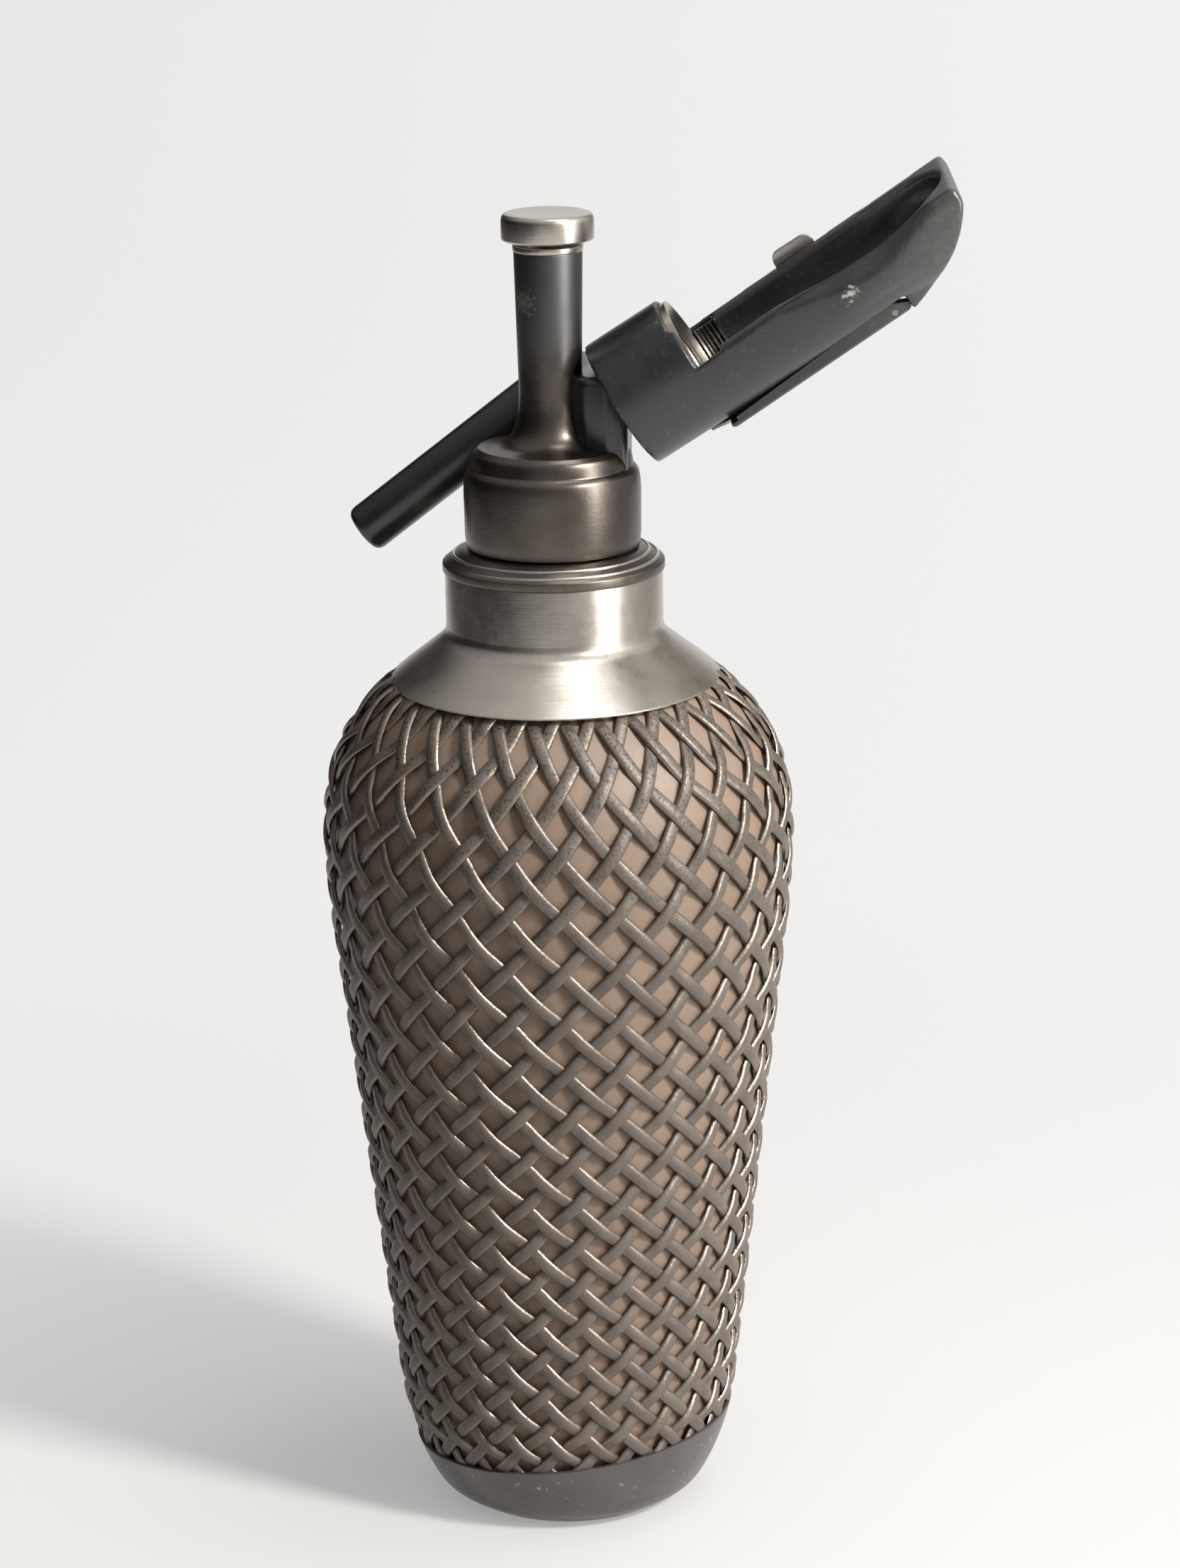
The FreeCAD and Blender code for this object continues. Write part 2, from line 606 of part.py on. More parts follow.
def return_spring():
    spring = coil(SPRING_COIL_RADIUS, SPRING_WIRE_RADIUS, SPRING_LENGTH - 2 * SEATED, SPRING_COILS)
    spring.translate(Vector(0, 0, PASSAGE_TOP + SEATED))
    return spring


def stem_gland():
    inner = STEM_TOP_RADIUS + RUNNING
    plug = SPRING_BORE_RADIUS - SEATED
    outline = [(inner, GLAND_FOOT), (plug, GLAND_FOOT), (plug, TOWER_TOP_HEIGHT),
               (GLAND_RADIUS, TOWER_TOP_HEIGHT), (GLAND_RADIUS, GLAND_TOP - GLAND_EDGE),
               (GLAND_RADIUS - GLAND_EDGE, GLAND_TOP), (inner, GLAND_TOP)]
    return turned(polygon(*outline))


def stem_seal():
    outer = SPRING_BORE_RADIUS - SEATED
    return ring(STEM_TOP_RADIUS + RUNNING, outer, GLAND_FOOT - STEM_SEAL_THICKNESS, GLAND_FOOT)


def push_button():
    inner = GLAND_RADIUS + FREE + HIDDEN
    boss_low = ROOF_UNDERSIDE - BUTTON_BOSS_DEPTH
    lip = BUTTON_LIP_EDGE
    edge = BUTTON_EDGE
    corner = (BUTTON_RADIUS, BUTTON_TOP - edge)
    crown = (BUTTON_RADIUS - edge, BUTTON_TOP)
    lean = edge * (1 - math.sqrt(0.5))
    outline = chain((inner, BUTTON_FOOT), (BUTTON_RADIUS - lip, BUTTON_FOOT),
                    (BUTTON_RADIUS, BUTTON_FOOT + lip), corner)
    outline += [arc(corner, (BUTTON_RADIUS - lean, BUTTON_TOP - lean), crown)]
    outline += chain(crown, (0, BUTTON_TOP), (0, ROOF_UNDERSIDE), (STEM_TOP_RADIUS, ROOF_UNDERSIDE),
                     (STEM_TOP_RADIUS, boss_low), (BUTTON_BOSS_RADIUS, boss_low),
                     (BUTTON_BOSS_RADIUS, ROOF_UNDERSIDE), (inner, ROOF_UNDERSIDE), (inner, BUTTON_FOOT))
    return turned(outline)


def holder_placement():
    turn = Placement(ORIGIN, Rotation(ALONG, HOLDER_TURN))
    tilt = Placement(Vector(HOLDER_X, 0, HOLDER_HEIGHT), Rotation(BACK, -HOLDER_SLOPE))
    return tilt.multiply(turn)


def holder_place(where):
    return holder_placement().multVec(where)


def on_holder(shape):
    shape.Placement = holder_placement().multiply(shape.Placement)
    return shape


def spout_placement():
    return Placement(Vector(SPOUT_TOP_X, SPOUT_BACK, SPOUT_TOP_HEIGHT), Rotation(BACK, 180 - SPOUT_SLOPE))


def on_spout(shape):
    shape.Placement = spout_placement().multiply(shape.Placement)
    return shape


def side_body():
    nose = BLOCK_FRONT_X - BLOCK_NOSE_WIDTH
    plan = [(BLOCK_LEFT, BLOCK_SADDLE), (0, 0), (nose, BLOCK_FRONT + BLOCK_NOSE_SLANT),
            (BLOCK_FRONT_X, BLOCK_FRONT), (BLOCK_RIGHT, BLOCK_FRONT + BLOCK_NOSE_SLANT),
            (BLOCK_RIGHT, BLOCK_BACK), (BLOCK_LEFT, BLOCK_BACK)]
    wire = Part.makePolygon([Vector(x, y, BLOCK_BOTTOM) for x, y in plan + plan[:1]])
    solid = Part.Face(wire).extrude(Vector(0, 0, BLOCK_HEIGHT))
    upright = [edge for edge in solid.Edges if edge.BoundBox.ZLength > BEYOND]
    front = [edge for edge in upright if edge.BoundBox.YMax < BLOCK_BACK - BEYOND]
    solid = solid.makeFillet(BLOCK_EDGE, front)
    upright = [edge for edge in solid.Edges if edge.BoundBox.ZLength > BEYOND]
    rear = [edge for edge in upright if edge.BoundBox.YMin > BLOCK_BACK - NEAR]
    solid = solid.makeFillet(BLOCK_BACK_EDGE, rear)
    top = [edge for edge in solid.Edges if edge.BoundBox.ZMin > BLOCK_TOP - NEAR]
    solid = solid.makeFillet(BLOCK_TOP_EDGE, top)
    reach = HOLDER_LENGTH
    solid = solid.cut(on_holder(block((-BLOCK_HOLDER_GAP, -reach, -reach), (reach, reach, reach))))
    solid = solid.cut(head_solid())
    shank = along_ring(0, NIPPLE_SHANK_RADIUS + SEATED, -NIPPLE_SHANK_LENGTH, BEYOND)
    solid = solid.cut(on_holder(shank))
    solid = solid.cut(on_spout(along_ring(0, SPOUT_RADIUS + SEATED, -SPOUT_SEAL_THICKNESS, SPOUT_LENGTH)))
    solid = solid.cut(on_spout(along_ring(0, SPOUT_BORE_RADIUS, -PORT_REACH, 0)))
    solid = solid.cut(port_hole())
    shank_end = holder_place(Vector(-NIPPLE_SHANK_LENGTH, 0, 0))
    solid = solid.cut(gas_hole(BLOCK_BOTTOM - BEYOND, shank_end.z + 0.5))
    for place in screw_places():
        solid = solid.cut(Part.makeCylinder(SCREW_RADIUS + SEATED, SCREW_LENGTH + BEYOND, place, -BACK))
        solid = solid.cut(Part.makeCylinder(SCREW_HEAD_RADIUS + HIDDEN, SCREW_HEAD_HEIGHT, place, -BACK))
    return max(solid.Solids, key=lambda piece: piece.Volume)


def side_screws():
    half_slot = 0.5 * SCREW_SLOT_WIDTH
    screws = []
    for place in screw_places():
        head = Part.makeCylinder(SCREW_HEAD_RADIUS, SCREW_HEAD_HEIGHT, place, -BACK)
        shank = Part.makeCylinder(SCREW_RADIUS, SCREW_LENGTH, place, -BACK)
        screw = head.fuse(shank).removeSplitter()
        slot = block((-SCREW_HEAD_RADIUS, -SCREW_SLOT_DEPTH, -half_slot),
                     (SCREW_HEAD_RADIUS, SCREW_SLOT_DEPTH, half_slot))
        slot.translate(place)
        screws.append(screw.cut(slot))
    return screws


def spout():
    tube = along_ring(SPOUT_BORE_RADIUS, SPOUT_RADIUS, 0, SPOUT_LENGTH)
    lip = [edge for edge in tube.Edges if abs(edge.BoundBox.XMin - SPOUT_LENGTH) < NEAR
           and edge.BoundBox.YMax > SPOUT_RADIUS - NEAR]
    return on_spout(tube.makeFillet(SPOUT_LIP, lip))


def spout_seal():
    return on_spout(along_ring(SPOUT_BORE_RADIUS, SPOUT_RADIUS, -SPOUT_SEAL_THICKNESS, 0))


def gas_nipple():
    """The nipple that the holder screws onto, drawn at the root of its thread."""
    end = NIPPLE_LENGTH
    solid = along_ring(0, THREAD_ROOT_RADIUS, NIPPLE_START, end)
    solid = solid.fuse(along_ring(0, NIPPLE_SHANK_RADIUS, -NIPPLE_SHANK_LENGTH, NIPPLE_START))
    solid = solid.cut(along_ring(0, GAS_BORE_RADIUS, -NIPPLE_SHANK_LENGTH, end))
    ball_end = BALL_PLACE + BALL_RADIUS + HIDDEN
    solid = solid.cut(along_ring(0, BALL_RADIUS + HIDDEN, ball_end - BALL_CHAMBER_LENGTH, ball_end))
    solid = solid.cut(along_ring(0, NEEDLE_RADIUS + SEATED, end - NEEDLE_ROOT, end + BEYOND))
    washer = along_ring(0, INLET_WASHER_RADIUS + SEATED, end - INLET_WASHER_THICKNESS, end + BEYOND)
    return on_holder(solid.cut(washer).removeSplitter())


def check_ball():
    ball = Part.makeSphere(BALL_RADIUS)
    ball.translate(Vector(BALL_PLACE, 0, 0))
    return on_holder(ball)


def piercing_needle():
    root = NIPPLE_LENGTH - NEEDLE_ROOT
    tip = NIPPLE_LENGTH + NEEDLE_REACH
    neck = tip - NEEDLE_POINT_LENGTH
    body = along_ring(0, NEEDLE_RADIUS, root, neck)
    tip_radius = NEEDLE_BORE_RADIUS + HIDDEN
    sharp = Part.makeCone(NEEDLE_RADIUS, tip_radius, NEEDLE_POINT_LENGTH, Vector(neck, 0, 0), ALONG)
    bore = along_ring(0, NEEDLE_BORE_RADIUS, root - BEYOND, tip + BEYOND)
    return on_holder(body.fuse(sharp).cut(bore).removeSplitter())


def inlet_washer():
    return on_holder(along_ring(NEEDLE_RADIUS + SEATED, INLET_WASHER_RADIUS,
                                NIPPLE_LENGTH - INLET_WASHER_THICKNESS, NIPPLE_LENGTH))


def thread_insert():
    return on_holder(along_ring(INSERT_BORE_RADIUS, INSERT_RADIUS, 0, HOLDER_COLLAR_LENGTH + INSERT_PROUD))


def underside_at(u):
    return UNDERSIDE_HEIGHT + (u - HOLDER_COLLAR_LENGTH) * math.tan(math.radians(UNDERSIDE_SLOPE))


def rim_at(u):
    return RIM_HEIGHT + (u - HOLDER_COLLAR_LENGTH) * math.tan(math.radians(RIM_SLOPE))


def keel_face(half_width):
    """The side outline of the holder with its round keel, as wide to each side along Y."""
    low = -HEEL_DEPTH - BEYOND
    above = HOLDER_RADIUS + BEYOND
    heel = (HEEL_START, -HEEL_DEPTH)
    tip = (HOLDER_LENGTH, NOSE_TIP_V)
    nose_top = (NOSE_TOP_U, NOSE_TOP_V)
    bulge = (between(tip, nose_top, 0.6)[0] + 0.2, 0.55 * NOSE_TOP_V)
    outline = chain((0, low), (HEEL_START, low), heel)
    outline += [arc(heel, (KEEL_U, KEEL_V), tip), arc(tip, bulge, nose_top)]
    outline += chain(nose_top, (NOSE_TOP_U, above), (0, above), (0, low))
    face = Part.Face(Part.Wire(outline))
    face.translate(Vector(0, -half_width, 0))
    return face.extrude(Vector(0, 2 * half_width, 0))


def holder_blank():
    half_heel = 0.5 * HEEL_WIDTH
    body = along_ring(0, HOLDER_RADIUS, 0, HOLDER_LENGTH)
    heel = block((HEEL_START, -half_heel, -HEEL_DEPTH - BEYOND), (HOLDER_LENGTH, half_heel, 0))
    body = body.fuse(heel).common(keel_face(HOLDER_RADIUS + BEYOND))
    reach = 1.4 * HOLDER_RADIUS
    start = HOLDER_COLLAR_LENGTH
    below = slab([(start, -reach), (HEEL_START, -reach), (HEEL_START, underside_at(HEEL_START)),
                  (start, underside_at(start))], reach)
    return body.cut(below)


def capsule_holder():
    body = holder_blank()
    trough = TROUGH_RADIUS
    above = 1.4 * HOLDER_RADIUS
    start = HOLDER_COLLAR_LENGTH
    beyond = HOLDER_LENGTH + BEYOND
    opening = slab([(start, rim_at(start)), (beyond, rim_at(beyond)), (beyond, above), (start, above)], above)
    body = body.cut(opening)
    end = TROUGH_END - trough
    hollow = along_ring(0, trough, start - BEYOND, end)
    ball = Part.makeSphere(trough)
    ball.translate(Vector(end, 0, 0))
    lift = block((start - BEYOND, -trough, 0), (end, trough, HOLDER_RADIUS))
    dome = Part.makeCylinder(trough, HOLDER_RADIUS, Vector(end, 0, 0), UP)
    body = body.cut(hollow).cut(ball).cut(lift).cut(dome)
    bore = INSERT_RADIUS + RUNNING
    body = body.cut(along_ring(0, bore, -BEYOND, start + TROUGH_MOUTH_LENGTH))
    half_lug = 0.5 * LUG_WIDTH
    lug = block((PIVOT_U - LUG_RADIUS, -half_lug, PIVOT_V),
                (PIVOT_U + LUG_RADIUS, half_lug, -trough - BEYOND))
    lug = lug.fuse(Part.makeCylinder(LUG_RADIUS, LUG_WIDTH, Vector(PIVOT_U, -half_lug, PIVOT_V), BACK))
    pin_start = Vector(PIVOT_U, -half_lug - BEYOND, PIVOT_V)
    pin_hole = Part.makeCylinder(PIVOT_RADIUS + SEATED, LUG_WIDTH + 2 * BEYOND, pin_start, BACK)
    return on_holder(body.fuse(lug).cut(pin_hole).removeSplitter())


def lever_pin():
    length = LEVER_WIDTH - 2 * LEVER_PIN_SHORT
    return on_holder(Part.makeCylinder(PIVOT_RADIUS, length, Vector(PIVOT_U, -0.5 * length, PIVOT_V), BACK))


def lever_spring():
    room = 0.5 * (LEVER_SLOT_WIDTH - LUG_WIDTH)
    length = room - 2 * FREE
    spring = coil(PIVOT_RADIUS + FREE + LEVER_SPRING_WIRE, LEVER_SPRING_WIRE, length, LEVER_SPRING_COILS)
    spring.rotate(ORIGIN, ALONG, -90)
    spring.translate(Vector(PIVOT_U, 0.5 * LUG_WIDTH + FREE, PIVOT_V))
    return on_holder(spring)


def plate_outline():
    toe = LEVER_START - TOE_REACH
    root = LEVER_START + BEYOND
    half = 0.5 * PLATE_WIDTH
    return [Vector(toe, -TOE_HALF_WIDTH, 0), Vector(root, -half, 0), Vector(PLATE_END, -half, 0),
            Vector(PLATE_END, half, 0), Vector(root, half, 0), Vector(toe, TOE_HALF_WIDTH, 0)]


def lever_rise(u):
    """How far the lever's outer face has risen towards the nose at u."""
    return max(0, u - LEVER_START) * math.tan(math.radians(LEVER_SLOPE))


def lever_plate():
    places = plate_outline()
    plan = Part.Face(Part.makePolygon(places + places[:1])).extrude(Vector(0, 0, -2 * LEVER_DEPTH))
    toe = LEVER_START - TOE_REACH
    under = PLATE_TOP - PLATE_THICKNESS
    rise = lever_rise(PLATE_END)
    sheet = slab([(toe, under), (LEVER_START, under), (PLATE_END, under + rise),
                  (PLATE_END, PLATE_TOP + rise), (LEVER_START, PLATE_TOP), (toe, PLATE_TOP)],
                 PLATE_WIDTH).common(plan)
    low = under + lever_rise(ARM_U)
    inside = HOLDER_RADIUS + FREE
    outside = inside + ARM_THICKNESS
    left = ARM_U - 0.5 * ARM_WIDTH
    right = ARM_U + 0.5 * ARM_WIDTH
    cross = block((left, 0, low), (right, outside, low + PLATE_THICKNESS))
    upright = block((left, inside, low), (right, outside, TAB_TOP))
    corners = [edge for edge in upright.Edges if edge.BoundBox.ZMin > TAB_TOP - NEAR
               and edge.BoundBox.YLength > 0.5 * ARM_THICKNESS]
    upright = upright.makeFillet(TAB_CORNER, corners)
    return on_holder(sheet.fuse(cross).fuse(upright).removeSplitter())


def eject_lever():
    """The lever, with its top cut away beyond the pin so that its end can rise as the toe opens."""
    end = HEEL_START - LEVER_GAP
    low = lever_rise(end) - LEVER_DEPTH
    start = HOLDER_COLLAR_LENGTH + LEVER_GAP
    places = [(LEVER_START, -LEVER_DEPTH), (end, low), (end, PIVOT_V + LEVER_HEEL_RELIEF),
              (PIVOT_U, underside_at(PIVOT_U) - LEVER_GAP), (start, UNDERSIDE_HEIGHT - LEVER_GAP),
              (start, PLATE_TOP), (LEVER_START, PLATE_TOP)]
    body = slab(places, 0.5 * LEVER_WIDTH)
    edges = [edge for edge in body.Edges if edge.BoundBox.ZMax < low + NEAR]
    body = body.makeChamfer(LEVER_CHAMFER, edges)
    half_slot = 0.5 * LEVER_SLOT_WIDTH
    slot_start = PIVOT_U - LUG_RADIUS - 2 * FREE
    body = body.cut(block((slot_start, -half_slot, -LEVER_DEPTH - BEYOND), (end + BEYOND, half_slot, 0)))
    pin_start = Vector(PIVOT_U, -0.5 * LEVER_WIDTH - BEYOND, PIVOT_V)
    hole = Part.makeCylinder(PIVOT_RADIUS + RUNNING, LEVER_WIDTH + 2 * BEYOND, pin_start, BACK)
    return on_holder(body.cut(hole)).cut(lever_plate())


def build():
    os.makedirs("parts", exist_ok=True)
    save("glass_bottle", glass_bottle())
    save("wire_mesh", wire_mesh())
    save("base_cup", base_cup())
    save("neck_collar", neck_collar())
    save("split_ring", *split_ring())
    save("neck_ring", neck_ring())
    save("neck_washer", neck_washer())
    save("bottle_gasket", bottle_gasket())
    save("head_body", head_body())
    save("head_bush", head_bush())
    save("dip_tube", dip_tube())
    save("tube_seal", tube_seal())
    save("tube_nut", tube_nut())
    save("valve_seat", valve_seat())
    save("valve_disc", valve_disc())
    save("valve_stem", valve_stem())
    save("return_spring", return_spring())
    save("stem_gland", stem_gland())
    save("stem_seal", stem_seal())
    save("push_button", push_button())
    save("side_body", side_body())
    save("side_screws", *side_screws())
    save("spout", spout())
    save("spout_seal", spout_seal())
    save("gas_nipple", gas_nipple())
    save("check_ball", check_ball())
    save("piercing_needle", piercing_needle())
    save("inlet_washer", inlet_washer())
    save("thread_insert", thread_insert())
    save("capsule_holder", capsule_holder())
    save("lever_pin", lever_pin())
    save("lever_spring", lever_spring())
    save("eject_lever", eject_lever())
    save("lever_plate", lever_plate())


build()
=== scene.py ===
from math import atan2, cos, hypot, pi, radians, sin, tan

import bmesh
import bpy
import numpy as np
from mathutils import Matrix, Vector, noise


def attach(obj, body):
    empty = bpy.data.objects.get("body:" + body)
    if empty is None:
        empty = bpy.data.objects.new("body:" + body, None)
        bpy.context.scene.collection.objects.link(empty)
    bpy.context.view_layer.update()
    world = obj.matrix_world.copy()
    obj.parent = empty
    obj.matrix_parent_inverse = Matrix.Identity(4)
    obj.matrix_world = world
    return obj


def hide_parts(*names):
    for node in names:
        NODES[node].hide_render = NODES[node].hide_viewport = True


# A soda siphon on a pale table: a glass bottle in a woven metal casing, a nickel head with a push
# button, a black tube spout and a slanting holder for a gas capsule. Lengths in the sections are in
# millimetres unless they say otherwise, and each new mesh is made in metres.
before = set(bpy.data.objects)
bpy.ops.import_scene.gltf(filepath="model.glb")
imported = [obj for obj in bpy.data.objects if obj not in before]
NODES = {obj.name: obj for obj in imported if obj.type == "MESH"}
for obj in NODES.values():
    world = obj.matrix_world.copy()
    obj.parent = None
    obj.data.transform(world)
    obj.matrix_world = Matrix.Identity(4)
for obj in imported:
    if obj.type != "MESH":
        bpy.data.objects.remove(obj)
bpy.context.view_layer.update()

# Camera
# It stands a metre away, about fifteen centimetres above the siphon's top, and looks down at it, with
# the small roll that the hand-held photograph has.
EYE_TURN = radians(3.0)
EYE_REACH = 1.022
EYE_HEIGHT = 0.4667
LOOK_TURN = radians(2.58)
LOOK_DOWN = radians(15.91)
LOOK_ROLL = radians(0.97)
LENS = 104.5

forward = Vector((-sin(LOOK_TURN) * cos(LOOK_DOWN),
                  cos(LOOK_TURN) * cos(LOOK_DOWN),
                  -sin(LOOK_DOWN)))
level = forward.cross(Vector((0, 0, 1))).normalized()
upright = level.cross(forward)
right = level * cos(LOOK_ROLL) - upright * sin(LOOK_ROLL)
up = level * sin(LOOK_ROLL) + upright * cos(LOOK_ROLL)
bpy.ops.object.camera_add()
camera = bpy.context.object
camera.name = "camera"
turn = Matrix((right, up, -forward)).transposed().to_4x4()
eye = Vector((EYE_REACH * sin(EYE_TURN), -EYE_REACH * cos(EYE_TURN), EYE_HEIGHT))
camera.matrix_world = Matrix.Translation(eye) @ turn
camera.data.lens = LENS
camera.data.clip_start = 0.05
bpy.context.scene.camera = camera


# Glass bottle
# Thick moulded glass, lacquered a matt tan brown outside, with a neck and a bead for the clamp.
# It shows in every opening of the casing, and its neck shows when the head is lifted out.
def smooth(points, share=6):
    """Points on a smooth curve through the given ones, with share steps from each to the next."""
    ends = [points[0], *points, points[-1]]
    line = []
    for a, b, c, d in zip(ends, ends[1:], ends[2:], ends[3:]):
        for step in range(share):
            t = step / share
            line.append(tuple(0.5 * (2 * q + (r - p) * t + (2 * p - 5 * q + 4 * r - s) * t * t
                                     + (3 * q - p - 3 * r + s) * t ** 3)
                              for p, q, r, s in zip(a, b, c, d)))
    return line + [tuple(points[-1])]


def take(piece):
    """Select this piece alone and make it the active one."""
    if bpy.context.object and bpy.context.object.mode == "EDIT":
        bpy.ops.object.mode_set(mode="OBJECT")
    bpy.ops.object.select_all(action="DESELECT")
    piece.select_set(True)
    bpy.context.view_layer.objects.active = piece


def turned(name, outline, steps=144, edge=0.0):
    """Spin an outline of radius and height about the bottle's axis, and round its sharp corners."""
    bpy.ops.object.select_all(action="DESELECT")
    bpy.ops.mesh.primitive_plane_add(size=0.001)
    piece = bpy.context.object
    piece.name = name
    piece.data.name = name
    bpy.ops.object.mode_set(mode="EDIT")
    bpy.ops.mesh.merge(type="CENTER")
    start, *others = [Vector((r, 0, z)) / 1000 for r, z in outline]
    bpy.ops.transform.translate(value=start)
    here = start
    for place in others:
        bpy.ops.mesh.extrude_vertices_move(TRANSFORM_OT_translate={"value": place - here})
        here = place
    bpy.ops.mesh.select_all(action="SELECT")
    bpy.ops.mesh.spin(steps=steps, angle=2 * pi, center=(0, 0, 0), axis=(0, 0, 1))
    bpy.ops.mesh.select_all(action="SELECT")
    bpy.ops.mesh.remove_doubles(threshold=0.000002)
    bpy.ops.mesh.normals_make_consistent(inside=False)
    bpy.ops.object.mode_set(mode="OBJECT")
    if edge:
        rounded(piece, edge)
    bpy.ops.object.shade_smooth_by_angle(angle=radians(40))
    return piece


def rounded(piece, width, rings=3, angle=30):
    """Round the sharp edges of a piece with an applied bevel."""
    take(piece)
    bevel = piece.modifiers.new("edges", "BEVEL")
    bevel.width = width / 1000
    bevel.segments = rings
    bevel.limit_method = "ANGLE"
    bevel.angle_limit = radians(angle)
    bevel.use_clamp_overlap = True
    bpy.ops.object.modifier_apply(modifier=bevel.name)


def linear(code):
    """An sRGB hex colour as linear values."""
    parts = [int(code[k:k + 2], 16) / 255 for k in (1, 3, 5)]
    return (*[p / 12.92 if p <= 0.04045 else ((p + 0.055) / 1.055) ** 2.4 for p in parts], 1.0)


def feed(material, node, inputs):
    """Set or link a node's inputs."""
    for name, value in inputs.items():
        if isinstance(value, bpy.types.NodeSocket):
            material.node_tree.links.new(value, node.inputs[name])
        else:
            node.inputs[name].default_value = value


def add(material, kind, inputs=None, **settings):
    """Add one node, set its properties, and set or link its inputs."""
    made = material.node_tree.nodes.new(kind)
    for name, value in settings.items():
        setattr(made, name, value)
    feed(material, made, inputs or {})
    return made


def new_material(name):
    """A material with its shader and the piece's own coordinates, which the sections link."""
    material = bpy.data.materials.new(name)
    material.use_nodes = True
    own = add(material, "ShaderNodeTexCoord").outputs["Object"]
    return material, material.node_tree.nodes["Principled BSDF"], own


def mottle(material, place, scale, detail, roughness=0.5):
    """A cloudy pattern of values about one half."""
    inputs = {"Vector": place, "Scale": scale, "Detail": detail, "Roughness": roughness}
    return add(material, "ShaderNodeTexNoise", inputs).outputs["Fac"]


def blend(material, share, first, second):
    """A colour between two others."""
    return add(material, "ShaderNodeMix", {0: share, 6: first, 7: second}, data_type="RGBA").outputs[2]


def bumped(material, height, strength, distance):
    """The surface's direction over a fine relief."""
    inputs = {"Height": height, "Strength": strength, "Distance": distance}
    return add(material, "ShaderNodeBump", inputs).outputs["Normal"]


def dress(piece, material, body, slot, *nodes):
    """Give a new piece its material, its body and the CAD nodes that it stands for."""
    piece.data.materials.clear()
    piece.data.materials.append(material)
    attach(piece, body)
    if nodes:
        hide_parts(*nodes)


CASING = [(36.3, 14), (39.7, 24), (40.6, 30), (41.8, 40), (46.4, 80), (50.9, 120), (54.11, 148),
          (55.1, 166), (53.5, 180), (49.4, 190), (41.6, 200), (36.6, 203.4)]
CASING_LINE = smooth(CASING, 10)
GLASS_INSET = 2.25
GLASS_WALL = 5.0
NECK_RADIUS = 14.2
NECK_BORE = 11.0
BEAD_RADIUS = 16.2
MOUTH_HEIGHT = 228.4
WALL_TOP = 196


def casing_radius(height):
    """The outer radius of the casing at a height."""
    return float(np.interp(height, [z for r, z in CASING_LINE], [r for r, z in CASING_LINE]))


side_heights = [*range(16, 148, 12), *range(148, 202, 4), 202]
glass_side = [(casing_radius(z) - GLASS_INSET, z) for z in side_heights]
glass_out = [(0, 1.1), (23.4, 1.2), (28.6, 4), *glass_side]
shoulder = [(33.6, 205.0), (24, 208.6), (17.2, 211.4), (NECK_RADIUS + 0.4, 214), (NECK_RADIUS, 216)]
glass_out += smooth(shoulder, 4)
glass_out += [(NECK_RADIUS, 221.4), (BEAD_RADIUS, 221.7), (BEAD_RADIUS, 226.2), (NECK_RADIUS, 226.5)]
glass_out += [(NECK_RADIUS, MOUTH_HEIGHT)]
glass_in = [(NECK_BORE, MOUTH_HEIGHT), (NECK_BORE, 214), (13.5, 207.5), (24, 204), (34, 200)]
glass_in += [(r - GLASS_WALL, z) for r, z in glass_side[::-1] if z < WALL_TOP]
glass_in += [(24, 8.4), (20, 7.1), (0, 7.0)]
bottle = turned("bottle_glass", glass_out + glass_in, edge=0.5)

# Tan-brown lacquer on glass: matt and a little uneven, with fine specks
lacquer, shader, place = new_material("tan lacquer on glass")
blotch = mottle(lacquer, place, 45.0, 4.0)
speck = mottle(lacquer, place, 900.0, 3.0)
tone = blend(lacquer, blotch, linear("#6b5a4d"), linear("#9b8675"))
tint = blend(lacquer, speck, tone, linear("#8f7b6b"))
grain = bumped(lacquer, speck, 0.12, 0.0003)
feed(lacquer, shader, {"Base Color": tint, "Normal": grain, "Roughness": 0.52, "IOR": 1.5})
dress(bottle, lacquer, "bottle", "lacquered_glass", "glass_bottle")

# Woven casing
# Flat tinned strips, twenty-six each way, woven one over one around the bottle, from under the collar
# down behind the lip of the base cup. The strips draw together a little on the front of the shoulder.
STRIPS = 26
STRIP_WIDTH = 2.35
STRIP_THICKNESS = 0.85
STRIP_FOOT = 13.0
STRIP_TOP = 203.2
STRIP_PROFILE = [(-0.5, 0.42), (-0.46, 0.16), (-0.36, 0.01), (0, -0.03), (0.36, 0.01), (0.46, 0.16),
                 (0.5, 0.42)]
STEPS_A_CROSSING = 14
LAYER_DEPTH = 0.97
LAYER_SWING = 0.5
SWING_POWER = 0.75
WANDER = 0.012
WANDER_LENGTH = 26
UNEVENNESS = 0.06
UNEVEN_LENGTH = 17
OVER_HEIGHT = 114.9
PITCH_LOW = 9.3
PITCH_GROWTH = 0.000175
SWAY_FOOT = 30
SWAY_LENGTH = 230
SHOULDER_FOOT = 150
SHOULDER_RISE = 45
SHOULDER_SQUEEZE = 0.2
CUP_RIM = 18.0
CUP_TILT = radians(6.0)
LIP_DEPTH = 2.2


def held(value):
    """A value held between 0 and 1."""
    return min(1, max(0, value))


def pitch(height):
    """The height from one crossing to the next."""
    return PITCH_LOW + PITCH_GROWTH * height ** 2


def periods(height):
    """How many crossings over crossings lie between OVER_HEIGHT and this height."""
    rate = (PITCH_LOW * PITCH_GROWTH) ** 0.5
    share = (PITCH_GROWTH / PITCH_LOW) ** 0.5
    from_start = atan2(height * share, 1) - atan2(OVER_HEIGHT * share, 1)
    return from_start / rate


def sway(height):
    """The slow sideways drift of the crossings' columns, as an angle."""
    return radians(-2.0 + 1.9 * cos(2 * pi * (height - SWAY_FOOT) / SWAY_LENGTH))


